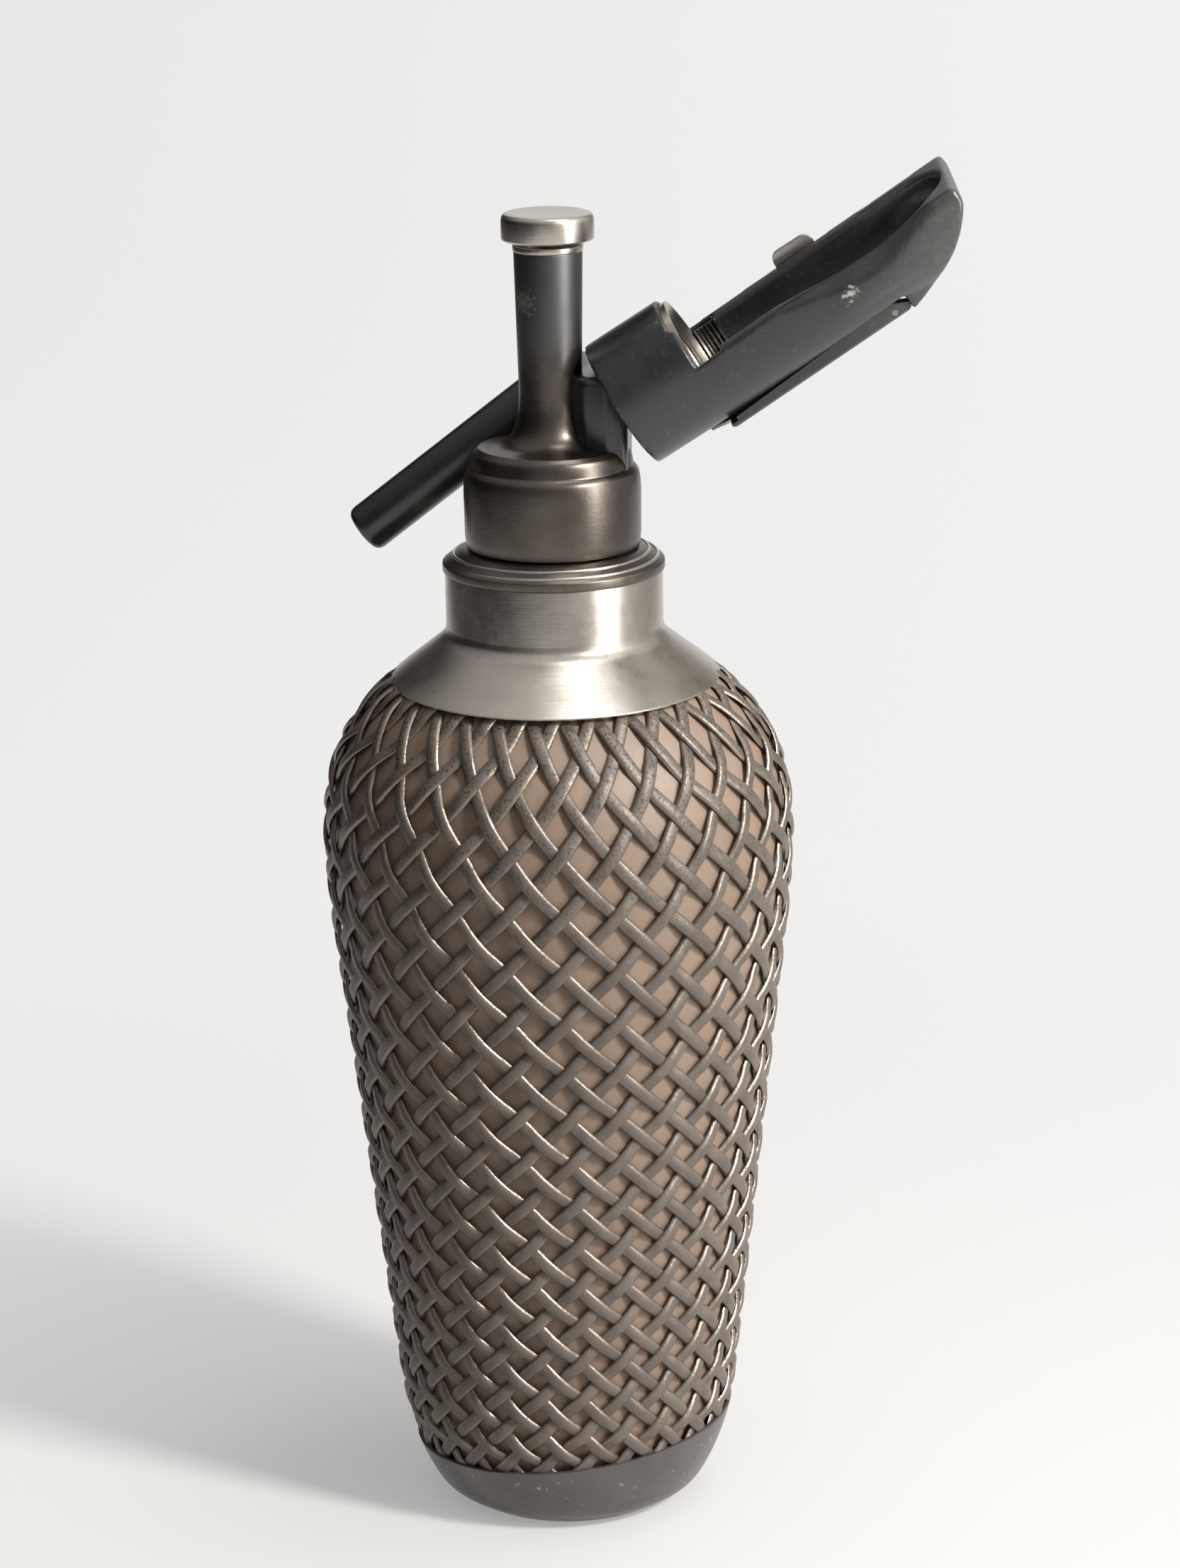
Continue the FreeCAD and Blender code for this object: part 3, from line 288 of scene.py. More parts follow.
def on_casing(angle, height, inset):
    """A place under the casing's outside, with the angle from the front towards the capsule holder."""
    rise = casing_radius(height + 0.5) - casing_radius(height - 0.5)
    out = Vector((1, -rise)).normalized()
    radius = casing_radius(height) - inset * out.x
    squeeze = SHOULDER_SQUEEZE * held((height - SHOULDER_FOOT) / SHOULDER_RISE)
    angle = angle - squeeze * sin(angle)
    return Vector((radius * sin(angle), -radius * cos(angle), height - inset * out.y)) / 1000


def woven_layer(name, lean):
    """All the strips that lean one way, as ribbons with rolled edges, thickened and joined."""
    spread = radians(360 / STRIPS)
    build = bmesh.new()
    uv = build.loops.layers.uv.new("strip")
    heights = []
    height = STRIP_FOOT
    while height < STRIP_TOP:
        heights.append(height)
        height += pitch(height) / STEPS_A_CROSSING
    heights.append(STRIP_TOP)
    for strip in range(STRIPS):
        rows = []
        length = 0.0
        last = None
        for height in heights:
            turns = periods(height)
            wander = WANDER * noise.noise((strip * 3.7, height / WANDER_LENGTH, lean * 9.1))
            angle = strip * spread + sway(height) + lean * turns * spread + wander
            swing = cos(2 * pi * turns)
            swing = (abs(swing) ** SWING_POWER) * (1 if swing > 0 else -1) * lean
            lift = UNEVENNESS * noise.noise((strip * 5.1, height / UNEVEN_LENGTH, lean * 4.3))
            inset = LAYER_DEPTH + LAYER_SWING * swing + lift
            middle = on_casing(angle, height, inset)
            ahead = on_casing(angle + lean * spread / pitch(height), height + 1, inset)
            along = (ahead - middle).normalized()
            outward = Vector((sin(angle), -cos(angle), 0))
            slope = casing_radius(height + 0.5) - casing_radius(height - 0.5)
            outward = (outward - Vector((0, 0, slope))).normalized()
            aside = along.cross(outward).normalized()
            row = [build.verts.new(middle + aside * (STRIP_WIDTH * s / 1000) - outward * (d / 1000))
                   for s, d in STRIP_PROFILE]
            length += (middle - last).length if last else 0
            last = middle
            rows.append((row, length))
        for (low, start), (high, end) in zip(rows, rows[1:]):
            for k in range(len(STRIP_PROFILE) - 1):
                face = build.faces.new((low[k], low[k + 1], high[k + 1], high[k]))
                corners = ((k, start), (k + 1, start), (k + 1, end), (k, end))
                ends = [(STRIP_PROFILE[place][0], reach) for place, reach in corners]
                for loop, (side, far) in zip(face.loops, ends):
                    loop[uv].uv = (far + strip * 0.37, side + 0.5)
    mesh = bpy.data.meshes.new(name)
    build.to_mesh(mesh)
    build.free()
    piece = bpy.data.objects.new(name, mesh)
    bpy.context.collection.objects.link(piece)
    take(piece)
    bpy.ops.object.mode_set(mode="EDIT")
    bpy.ops.mesh.select_all(action="SELECT")
    behind = Vector((sin(CUP_TILT), 0, -cos(CUP_TILT)))
    bpy.ops.mesh.bisect(plane_co=(0, 0, (CUP_RIM - LIP_DEPTH) / 1000), plane_no=behind, clear_outer=True)
    bpy.ops.object.mode_set(mode="OBJECT")
    wall = piece.modifiers.new("thickness", "SOLIDIFY")
    wall.thickness = STRIP_THICKNESS / 1000
    wall.offset = 0
    bpy.ops.object.modifier_apply(modifier=wall.name)
    bpy.ops.object.shade_smooth_by_angle(angle=radians(50))
    return piece


def ranged(material, value, start=0.0, end=1.0, low=0.0, high=1.0, **settings):
    """A value carried over from one range to another and held in it."""
    inputs = {"Value": value, "From Min": start, "From Max": end, "To Min": low, "To Max": high}
    return add(material, "ShaderNodeMapRange", inputs, **settings).outputs[0]


def reckon(material, operation, *values):
    """The result of one operation on sockets or numbers."""
    return add(material, "ShaderNodeMath", dict(enumerate(values)), operation=operation).outputs[0]


# Aged tinned strip: dull grey-brown on the flat, rubbed smoother along the edges, with fine pitting
# and dark specks on the shoulder
tinned, shader, place = new_material("aged tinned strip")
along_strip = add(tinned, "ShaderNodeTexCoord").outputs["UV"]
strip_uv = add(tinned, "ShaderNodeSeparateXYZ", {"Vector": along_strip})
parts = add(tinned, "ShaderNodeSeparateXYZ", {"Vector": place})
patina = mottle(tinned, place, 130.0, 6.0, 0.65)
pits = mottle(tinned, place, 1500.0, 3.0)
upper = ranged(tinned, parts.outputs["Z"], 0.13, 0.2)
speck = ranged(tinned, pits, 0.5, 0.66)
speckled = reckon(tinned, "MULTIPLY", upper, speck)
centre = reckon(tinned, "SUBTRACT", strip_uv.outputs["Y"], 0.5)
aside = reckon(tinned, "ABSOLUTE", centre)
worn = ranged(tinned, aside, 0.3, 0.46)
rubbed = reckon(tinned, "MULTIPLY", worn, patina)
dull = blend(tinned, patina, linear("#413a35"), linear("#857a70"))
dirty = blend(tinned, speckled, dull, linear("#3a322c"))
bright = blend(tinned, rubbed, dirty, linear("#9c8f82"))
flat_matt = ranged(tinned, pits, low=0.34, high=0.6)
matt = add(tinned, "ShaderNodeMix", {0: worn, 2: flat_matt, 3: 0.33}).outputs[0]
shine = ranged(tinned, worn, low=0.25, high=0.7)
rough = bumped(tinned, pits, 0.35, 0.0003)
feed(tinned, shader, {"Base Color": bright, "Roughness": matt, "Metallic": shine, "Normal": rough})

down_right = woven_layer("casing_strips_one_way", -1)
dress(down_right, tinned, "bottle", "tinned_wire", "wire_mesh")
up_right = woven_layer("casing_strips_other_way", 1)
dress(up_right, tinned, "bottle", "tinned_wire")

# Base cup
# A bowl spun from sheet metal and painted grey, pushed up over the foot of the casing. Its rim slopes
# up towards the capsule holder, and a narrow dark gap shows between its lip and the strips.
CUP_SHEET = 0.9
CUP_PROUD = 0.25
CUP_LINE = [(26.0, 0.0), (31.2, 3.6), (34.2, 8.4), (36.4, 13.4), (38.2, 18.8), (39.6, 24.6), (40.2, 28)]
cup_shell = [(0.0, 0.9), (21.0, 0.9), (23.4, 0.2)]
cup_shell += [(r + CUP_PROUD * min(1, z / 4), z) for r, z in smooth(CUP_LINE)]
cup = turned("cup_shell", cup_shell, steps=180)
take(cup)
bpy.ops.object.mode_set(mode="EDIT")
bpy.ops.mesh.select_all(action="SELECT")
above = Vector((-sin(CUP_TILT), 0, cos(CUP_TILT)))
bpy.ops.mesh.bisect(plane_co=(0, 0, CUP_RIM / 1000), plane_no=above, clear_outer=True)
bpy.ops.object.mode_set(mode="OBJECT")
wall = cup.modifiers.new("sheet", "SOLIDIFY")
wall.thickness = CUP_SHEET / 1000
wall.offset = -1
bpy.ops.object.modifier_apply(modifier=wall.name)
rounded(cup, 0.3, 2, 50)
bpy.ops.object.shade_smooth_by_angle(angle=radians(40))

# Grey paint on spun sheet: satin, with faint rings from the spinning and small worn spots
paint, shader, place = new_material("satin grey paint")
cloud = mottle(paint, place, 60.0, 6.0, 0.6)
spots = mottle(paint, place, 420.0, 4.0)
spun = add(paint, "ShaderNodeTexWave", {"Vector": place, "Scale": 130.0, "Distortion": 0.6},
           bands_direction="Z")
chips = ranged(paint, spots, 0.66, 0.72)
cover = blend(paint, cloud, linear("#504d4b"), linear("#75716e"))
aged = blend(paint, chips, cover, linear("#9c968f"))
matt = ranged(paint, cloud, low=0.26, high=0.4)
rings = bumped(paint, spun.outputs["Fac"], 0.08, 0.0004)
feed(paint, shader, {"Base Color": aged, "Roughness": matt, "Normal": rings, "Metallic": 0.6})
dress(cup, paint, "bottle", "grey_cup", "base_cup")

# Neck collar
# A spun nickel collar that holds the neck's clamp, with a skirt that flares over the top of the
# casing. The skirt spreads a little wider at the front and the back.
SKIRT_OVAL = 41.6 / 38.2
SKIRT_TOP = 211.5
SKIRT_DEPTH = 9.3
outer = [(25.1, 227.4)] + smooth([(25.1, 214.6), (25.55, 213.0), (26.8, 211.5), (28.6, 210.0)], 5)
outer += smooth([(28.6, 210.0), (32.0, 207.3), (35.4, 204.6), (38.2, 202.2)], 5)[1:]
inner = [(37.5, 201.6), (34.6, 203.9), (31.2, 206.6), (27.9, 209.2), (25.9, 210.9), (24.0, 213.2)]
inner += [(24.0, 227.4)]
collar = turned("collar_with_skirt", outer + inner + outer[:1], steps=180, edge=0.25)
for vertex in collar.data.vertices:
    low = held((SKIRT_TOP - vertex.co.z * 1000) / SKIRT_DEPTH)
    vertex.co.y *= 1 + (SKIRT_OVAL - 1) * low

# Worn nickel plate: warm silver, hazy from wear, with fine scratches around it
nickel, shader, place = new_material("worn nickel plate")
haze = mottle(nickel, place, 70.0, 6.0, 0.65)
streaks = add(nickel, "ShaderNodeMapping", {"Vector": place, "Scale": (120.0, 120.0, 2600.0)})
scratch = mottle(nickel, streaks.outputs[0], 1.0, 4.0)
pitted = mottle(nickel, place, 700.0, 3.0)
stain = ranged(nickel, pitted, 0.66, 0.8, high=0.5)
plate = blend(nickel, haze, linear("#b4aca2"), linear("#d8d1c7"))
aged = blend(nickel, stain, plate, linear("#6f655a"))
matt = ranged(nickel, haze, 0.3, 0.7, 0.24, 0.36)
lines = bumped(nickel, scratch, 0.1, 0.0002)
feed(nickel, shader, {"Base Color": aged, "Roughness": matt, "Normal": lines, "Metallic": 1.0})
dress(collar, nickel, "bottle", "nickel", "neck_collar")

# Neck ring
# A turned ring screwed into the collar's top, with a slanting upper face. A thread was cut round that
# face, and its bright worn ridge winds in towards the head.
ring_line = [(15.6, 232.6), (20.4, 232.6), (21.3, 232.2), (25.05, 229.9), (25.65, 229.4), (25.65, 227.6),
             (25.4, 227.4), (24.0, 227.4), (24.0, 221.5), (16.3, 221.5), (16.3, 227.4), (14.3, 227.4),
             (14.3, 228.4), (15.6, 228.4), (15.6, 232.6)]
ring = turned("clamp_ring", ring_line, edge=0.2)
THREAD_TURNS = 1.75
THREAD_POINTS = 150
THREAD_WANDER = 0.08
THREAD_TAPER = 12


def ridge(name, start, end, turns, first, thickness):
    """A round ridge that winds from one radius and height to another."""
    bpy.ops.curve.primitive_nurbs_path_add()
    piece = bpy.context.object
    piece.name = name
    line = piece.data
    line.splines.clear()
    spline = line.splines.new("POLY")
    spline.points.add(THREAD_POINTS - 1)
    for number, point in enumerate(spline.points):
        share = number / (THREAD_POINTS - 1)
        angle = first + 2 * pi * turns * share
        wander = THREAD_WANDER * noise.noise((share * 9, 1.3, turns))
        radius = start[0] + (end[0] - start[0]) * share + wander
        height = start[1] + (end[1] - start[1]) * share
        point.co = (radius * sin(angle) / 1000, -radius * cos(angle) / 1000, height / 1000, 1)
        point.radius = min(1, THREAD_TAPER * share, THREAD_TAPER * (1 - share) + 0.1)
    line.bevel_depth = thickness / 1000
    line.bevel_resolution = 3
    line.use_fill_caps = True
    take(piece)
    bpy.ops.object.convert(target="MESH")
    piece = bpy.context.object
    bpy.ops.object.shade_smooth()
    return piece


thread = ridge("ring_thread", (24.9, 230.0), (21.4, 232.1), THREAD_TURNS, radians(-62), 0.42)

# Dulled nickel: dark grey where dirt has settled, brighter where hands have rubbed it
dark, shader, place = new_material("dulled nickel")
haze = mottle(dark, place, 90.0, 6.0, 0.65)
fine = mottle(dark, place, 1100.0, 3.0)
plate = blend(dark, haze, linear("#4b4642"), linear("#857d73"))
matt = ranged(dark, haze, low=0.22, high=0.5)
grain = bumped(dark, fine, 0.15, 0.0002)
feed(dark, shader, {"Base Color": plate, "Roughness": matt, "Normal": grain, "Metallic": 1.0})
dress(ring, dark, "bottle", "dark_nickel", "neck_ring")
dress(thread, nickel, "bottle", "dark_nickel")

# Head
# One nickel-plated casting: a dome over the neck, a ledge, a flare and a narrow tower for the valve.
# The plate has gone dark and uneven all over.
head_low = [(0, 237.0), (14.05, 237.0), (14.05, 233.0), (20.0, 233.0), (20.3, 236.0), (20.4, 246.0)]
head_dome = smooth([(20.4, 246.0), (20.25, 248.6), (19.85, 250.4), (19.1, 251.4)], 5)[1:]
head_dome += smooth([(18.75, 251.65), (18.45, 253.6), (18.0, 254.9), (17.3, 255.6)], 5)
head_flare = smooth([(16.8, 256.05), (12.2, 256.65), (9.3, 258.8), (7.75, 263.0), (7.2, 268.0)], 8)
head_tower = [(7.4, 279.0), (7.85, 301.0), (0, 301.0)]
head = turned("valve_head", head_low + head_dome + head_flare + head_tower, edge=0.35)

# Nickel gone dark: warm grey below, cooler and more satin at the tower's top, with a worn round mark
head_metal, shader, place = new_material("darkened nickel casting")
parts = add(head_metal, "ShaderNodeSeparateXYZ", {"Vector": place})
haze = mottle(head_metal, place, 110.0, 6.0, 0.6)
fine = mottle(head_metal, place, 1300.0, 3.0)
wavy = reckon(head_metal, "MULTIPLY", haze, 0.012)
edge_height = reckon(head_metal, "ADD", parts.outputs["Z"], wavy)
fade = ranged(head_metal, edge_height, 0.276, 0.290, interpolation_type="SMOOTHSTEP")
warm = blend(head_metal, haze, linear("#45403b"), linear("#7c746b"))
plate = blend(head_metal, fade, warm, linear("#5f5f5f"))
satin = reckon(head_metal, "MULTIPLY", fade, 0.12)
cast = ranged(head_metal, haze, low=0.24, high=0.42)
matt = reckon(head_metal, "ADD", cast, satin)
TOWER_MARK = (-0.0048, -0.0047, 0.2902)
MARK_INNER = 0.0068
MARK_OUTER = 0.0078
apart = add(head_metal, "ShaderNodeVectorMath", {0: place, 1: TOWER_MARK}, operation="DISTANCE")
pitted = reckon(head_metal, "MULTIPLY", fine, 0.01)
fringe = reckon(head_metal, "ADD", apart.outputs["Value"], pitted)
rubbed = ranged(head_metal, fringe, MARK_OUTER, MARK_INNER, high=0.55)
marked = blend(head_metal, rubbed, plate, linear("#b7ada0"))
grain = bumped(head_metal, fine, 0.12, 0.0002)
feed(head_metal, shader, {"Base Color": marked, "Roughness": matt, "Normal": grain, "Metallic": 1.0})
dress(head, head_metal, "head", "dark_nickel", "head_body")

# Gland and push button
# A bright ring closes the tower's top, and over it sits the button, a deep nickel cap with a rounded
# edge and a slightly dished top.
gland_line = [(2.3, 297.0), (4.35, 297.0), (4.35, 301.0), (8.05, 301.0), (8.05, 302.3), (7.75, 302.6),
              (2.3, 302.6), (2.3, 297.0)]
gland = turned("gland_ring", gland_line, steps=96, edge=0.15)
button_line = [(0, 308.1), (8.5, 308.1), (8.5, 303.5), (8.9, 303.4), (10.2, 303.4), (10.6, 303.8)]
button_line += smooth([(10.6, 307.9), (10.4, 308.8), (9.9, 309.35), (9.0, 309.6)], 4)
button_line += [(7.6, 309.55), (4.0, 309.3), (0, 309.2)]
button = turned("button_cap", button_line, steps=120, edge=0.12)
dress(gland, nickel, "head", "nickel", "stem_gland")
dress(button, nickel, "button", "nickel", "push_button")


# Side body, spout and their screws
# A block moulded in black phenolic stands behind and beside the tower and carries the spout, a plain
# black tube with a rounded end. Two steel screws hold the block to the head from behind.
def cad_copy(node, name, edge=0.0):
    """A copy of a CAD piece, merged into whole faces, with its sharp edges rounded."""
    source = NODES[node]
    piece = bpy.data.objects.new(name, source.data.copy())
    bpy.context.collection.objects.link(piece)
    piece.data.name = name
    take(piece)
    bpy.ops.object.mode_set(mode="EDIT")
    bpy.ops.mesh.select_all(action="SELECT")
    bpy.ops.mesh.remove_doubles(threshold=0.00001)
    bpy.ops.mesh.dissolve_limited(angle_limit=radians(1.0))
    bpy.ops.object.mode_set(mode="OBJECT")
    if edge:
        rounded(piece, edge, 2)
    bpy.ops.object.shade_smooth_by_angle(angle=radians(35))
    return piece


block = cad_copy("side_body", "side_block", 0.5)
SPOUT_TOP = Vector((-2.8, 20.8, 264.5)) / 1000
SPOUT_TURN = radians(180 - 37.5)
spout_line = [(2.6, 0), (5.8, 0)]
spout_line += smooth([(5.8, 52.2), (5.55, 53.2), (4.9, 53.9), (4.0, 54.0)], 4)
spout_line += [(3.2, 53.9), (2.6, 53.3), (2.6, 0)]
spout = turned("spout_tube", spout_line, steps=96, edge=0.1)
ALONG_X = Matrix.Rotation(radians(90), 4, "Y")
spout.data.transform(Matrix.Translation(SPOUT_TOP) @ Matrix.Rotation(SPOUT_TURN, 4, "Y") @ ALONG_X)

# Black phenolic moulding: glossy where it was in the mould, greyed and scratched where it has rubbed, and
# paler towards the nose, partly scuffs and partly a painted sheen where the nose faces the key lamp
phenolic, shader, place = new_material("black phenolic moulding")
haze = mottle(phenolic, place, 80.0, 6.0, 0.6)
scuffs = mottle(phenolic, place, 600.0, 5.0, 0.7)
dust = ranged(phenolic, scuffs, 0.58, 0.78)
shade = blend(phenolic, haze, linear("#121214"), linear("#272729"))
aged = blend(phenolic, dust, shade, linear("#4b4947"))
parts = add(phenolic, "ShaderNodeSeparateXYZ", {"Vector": place})
# Towards the nose the scuffs are painted paler: partly wear, partly a painted sheen standing for the key
# light on the nose
nose_scuffs_and_painted_sheen = ranged(phenolic, parts.outputs["X"], 0.066, 0.1)
bloom = reckon(phenolic, "MULTIPLY", nose_scuffs_and_painted_sheen, scuffs)
greyed = blend(phenolic, bloom, aged, linear("#6b6965"))
STAR = (0.0681, -0.0148, 0.2932)
STAR_INNER = 0.0064
STAR_OUTER = 0.0074
apart = add(phenolic, "ShaderNodeVectorMath", {0: place, 1: STAR}, operation="DISTANCE")
ragged = reckon(phenolic, "MULTIPLY", scuffs, 0.012)
fringe = reckon(phenolic, "ADD", apart.outputs["Value"], ragged)
chip = ranged(phenolic, fringe, STAR_OUTER, STAR_INNER)
marked = blend(phenolic, chip, greyed, linear("#a5a29c"))
matt = ranged(phenolic, haze, 0.3, 0.7, 0.24, 0.4)
grain = bumped(phenolic, scuffs, 0.06, 0.0002)
feed(phenolic, shader, {"Base Color": marked, "Roughness": matt, "Normal": grain, "IOR": 1.72})
dress(block, phenolic, "head", "black_moulding", "side_body")
dress(spout, phenolic, "head", "black_moulding", "spout")

# Capsule holder
# A black moulded trough with a round collar, screwed onto the head by the nickel sleeve in the collar.
# Its mouth is open as far as the nose, and its near rim rolls over softly on the way there.
HOLDER_FOOT = Vector((16.4, 0, 265.5)) / 1000
HOLDER_PLACE = (Matrix.Translation(HOLDER_FOOT) @ Matrix.Rotation(radians(-32.7), 4, "Y")
                @ Matrix.Rotation(radians(8.0), 4, "X"))
TROUGH_RADIUS = 10.4
RELIEF_GAP = 4.2
WEB_HALF_WIDTH = 4.0
VOXEL = 0.00045
ROLL_FOOT = 42
ROLL_RISE = 24
ROLL_FALL = 16
ROLL_END = 84
ROLL_DROP = 4.2
ROLL_INNER = 9.4
ROLL_WIDTH = 5.4
ROLL_UNDER = -8
ROLL_DEPTH = 10
SOFT_RISE = 12
SOFT_FALL = 6
SOFT_END = 86
SOFT_UNDER = -7
SOFT_DEPTH = 5
SOFT_ROUNDS = 130
ALL_OVER_ROUNDS = 3
NOSE_START = 67
NOSE_RISE = 3
NOSE_SOFTNESS = 0.22


def in_holder(u, y, v):
    """A place given along the holder's axis, across it and above it."""
    return Vector((u, y, v)) / 1000


def hull_of_balls(name, radius, places):
    """The tight skin around some balls, as a cutter."""
    bpy.ops.object.select_all(action="DESELECT")
    balls = []
    for where in places:
        bpy.ops.mesh.primitive_uv_sphere_add(segments=48, ring_count=24, radius=radius / 1000,
                                             location=where)
        balls.append(bpy.context.object)
    for ball in balls:
        ball.select_set(True)
    bpy.ops.object.join()
    cutter = bpy.context.object
    cutter.name = name
    bpy.ops.object.transform_apply(location=True, rotation=True, scale=True)
    bpy.ops.object.mode_set(mode="EDIT")
    bpy.ops.mesh.select_all(action="SELECT")
    bpy.ops.mesh.convex_hull()
    bpy.ops.object.mode_set(mode="OBJECT")
    return cutter


def carve(piece, cutter):
    """Cut a cutter out of a piece, and remove the cutter."""
    take(piece)
    cut = piece.modifiers.new("cut", "BOOLEAN")
    cut.object = cutter
    cut.operation = "DIFFERENCE"
    cut.solver = "EXACT"
    bpy.ops.object.modifier_apply(modifier=cut.name)
    bpy.data.objects.remove(cutter, do_unlink=True)


def prism(name, outline, low, high):
    """A prism of an outline along and above the holder's axis, from low to high across it."""
    mesh = bpy.data.meshes.new(name)
    count = len(outline)
    points = [in_holder(u, low, v) for u, v in outline] + [in_holder(u, high, v) for u, v in outline]
    faces = [tuple(range(count)), tuple(range(2 * count - 1, count - 1, -1))]
    faces += [(k, k + count, (k + 1) % count + count, (k + 1) % count) for k in range(count)]
    mesh.from_pydata(points, [], faces)
    piece = bpy.data.objects.new(name, mesh)
    bpy.context.collection.objects.link(piece)
    take(piece)
    bpy.ops.object.mode_set(mode="EDIT")
    bpy.ops.mesh.select_all(action="SELECT")
    bpy.ops.mesh.normals_make_consistent(inside=False)
    bpy.ops.object.mode_set(mode="OBJECT")
    return piece


# The nose is hollow almost to its tip. The flats beside the lug rise towards the nose, so that the
# lever's flanges can stand deeper, and a thin web behind the pin closes the seam's end.
holder = cad_copy("capsule_holder", "holder_trough")
holder.data.transform(HOLDER_PLACE.inverted())
hollow = [in_holder(68, 0, 0), in_holder(77.5, 0, 2.5), in_holder(68, 0, 24), in_holder(77.5, 0, 24)]
carve(holder, hull_of_balls("nose_hollow", TROUGH_RADIUS, hollow))
relief = [(20.4, -14.62), (67.55, -11.3), (67.55, -14.0), (20.4, -15.2)]
carve(holder, prism("relief_near", relief, -16, -RELIEF_GAP))
carve(holder, prism("relief_far", relief, RELIEF_GAP, 16))
web_line = [(67.25, -11.5), (68.6, -11.5), (68.6, -15.8), (67.25, -15.8)]
web = prism("web", web_line, -WEB_HALF_WIDTH, WEB_HALF_WIDTH)
bpy.ops.object.select_all(action="DESELECT")
web.select_set(True)
holder.select_set(True)
bpy.context.view_layer.objects.active = holder
bpy.ops.object.join()
moulding = holder.modifiers.new("moulding", "REMESH")
moulding.mode = "VOXEL"
moulding.voxel_size = VOXEL
take(holder)
bpy.ops.object.modifier_apply(modifier=moulding.name)

# The near rim sinks most at its outer edge, and is then smoothed together with the nose
soft = holder.vertex_groups.new(name="soft")
for vertex in holder.data.vertices:
    u, y, v = vertex.co * 1000
    if y < 0 and ROLL_FOOT < u < ROLL_END:
        outward = held((-y - ROLL_INNER) / ROLL_WIDTH)
        along = min(1, (u - ROLL_FOOT) / ROLL_RISE, (ROLL_END - u) / ROLL_FALL)
        along *= along * (3 - 2 * along)
        vertex.co.z -= ROLL_DROP * outward * along * held((v - ROLL_UNDER) / ROLL_DEPTH) / 1000
    rim = min(1, max(0, (u - ROLL_FOOT) / SOFT_RISE), (SOFT_END - u) / SOFT_FALL)
    rim *= held((v - SOFT_UNDER) / SOFT_DEPTH)
    rim = max(0, rim) if y < 0 else 0
    nose = NOSE_SOFTNESS * held((u - NOSE_START) / NOSE_RISE)
    soft.add([vertex.index], max(rim, nose), "REPLACE")
for group, rounds in (("soft", SOFT_ROUNDS), ("", ALL_OVER_ROUNDS)):
    ease = holder.modifiers.new("ease", "SMOOTH")
    ease.factor = 0.5
    ease.iterations = rounds
    ease.vertex_group = group
    bpy.ops.object.modifier_apply(modifier=ease.name)
bpy.ops.object.shade_smooth()
holder.data.transform(HOLDER_PLACE)
dress(holder, phenolic, "holder", "black_moulding", "capsule_holder")

# The nickel sleeve in the collar, and the ribs that its thread goes on with in the trough's wall
SLEEVE_RADIUS = 14.4
SLEEVE_LENGTH = 20.8
SLEEVE_BORE = 12.2
SLEEVE_STEP = 0.75
sleeve_line = [(SLEEVE_RADIUS, 0), (SLEEVE_RADIUS, SLEEVE_LENGTH), (13.7, SLEEVE_LENGTH), (12.5, 19.4)]
sleeve_line += [(SLEEVE_BORE + (0.35 if k % 2 else -0.25), 19.0 - SLEEVE_STEP * k) for k in range(25)]
sleeve_line += [(SLEEVE_BORE, 0), (SLEEVE_RADIUS, 0)]
sleeve = turned("thread_sleeve", sleeve_line, steps=96)
sleeve.data.transform(HOLDER_PLACE @ ALONG_X)
dress(sleeve, nickel, "insert", "nickel", "thread_insert")

TAIL_RADIUS = 14.42
TAIL_BORE = 13.2
TAIL_RIB = 0.4
TAIL_STEP = 0.55
TAIL_START = 21.0
TAIL_END = 26.7
TAIL_TOP = 1.4
tail_line = [(TAIL_RADIUS, TAIL_START), (TAIL_RADIUS, TAIL_END)]
tail_line += [(TAIL_BORE + (TAIL_RIB if k % 2 else 0), TAIL_END - TAIL_STEP * k) for k in range(11)]
tail = turned("thread_tail", tail_line + tail_line[:1])
tail.data.transform(ALONG_X)
take(tail)
bpy.ops.object.mode_set(mode="EDIT")
bpy.ops.mesh.select_all(action="SELECT")
bpy.ops.mesh.bisect(plane_co=(0, 0, TAIL_TOP / 1000), plane_no=(0, 0, 1), use_fill=True, clear_outer=True)
bpy.ops.object.mode_set(mode="OBJECT")
tail.data.transform(HOLDER_PLACE)
dress(tail, head_metal, "holder", "dark_nickel")

# Eject lever
# A black moulded bar that turns on a steel pin under the nose, with side flanges that deepen towards
# the pin. A nickel plate on it carries the pointed toe at the collar and the tab behind the trough.
LEVER_START = 20.65
LEVER_SLOPE = tan(radians(2))
FLANGE_FOOT = -15.1
FLANGE_RISE = 0.0353
FLANGE_PEAK = 63
FLANGE_FALL = 0.2
PIN_U = 63.6
PIN_V = -14.75
PIN_HOLE = 0.95
END_START = 66
END_UNDER = -17.1
END_DEPTH = 2
END_REACH = 0.0003
lever = cad_copy("eject_lever", "lever_bar")
lever.data.transform(HOLDER_PLACE.inverted())
for vertex in lever.data.vertices:
    u, y, v = vertex.co * 1000
    on_flange = v > FLANGE_FOOT + (u - LEVER_START) * LEVER_SLOPE
    if on_flange and hypot(u - PIN_U, v - PIN_V) > PIN_HOLE:
        rise = (min(u, FLANGE_PEAK) - LEVER_START) * FLANGE_RISE
        vertex.co.z += (rise - max(0, u - FLANGE_PEAK) * FLANGE_FALL) / 1000
    if u > END_START:
        vertex.co.x += END_REACH * held((v - END_UNDER) / END_DEPTH)
lever.data.transform(HOLDER_PLACE)
rounded(lever, 0.4)
bpy.ops.object.shade_smooth_by_angle(angle=radians(35))
dress(lever, phenolic, "lever", "black_moulding", "eject_lever")
toe = cad_copy("lever_plate", "toe_plate", 0.18)
dress(toe, nickel, "lever", "nickel", "lever_plate")

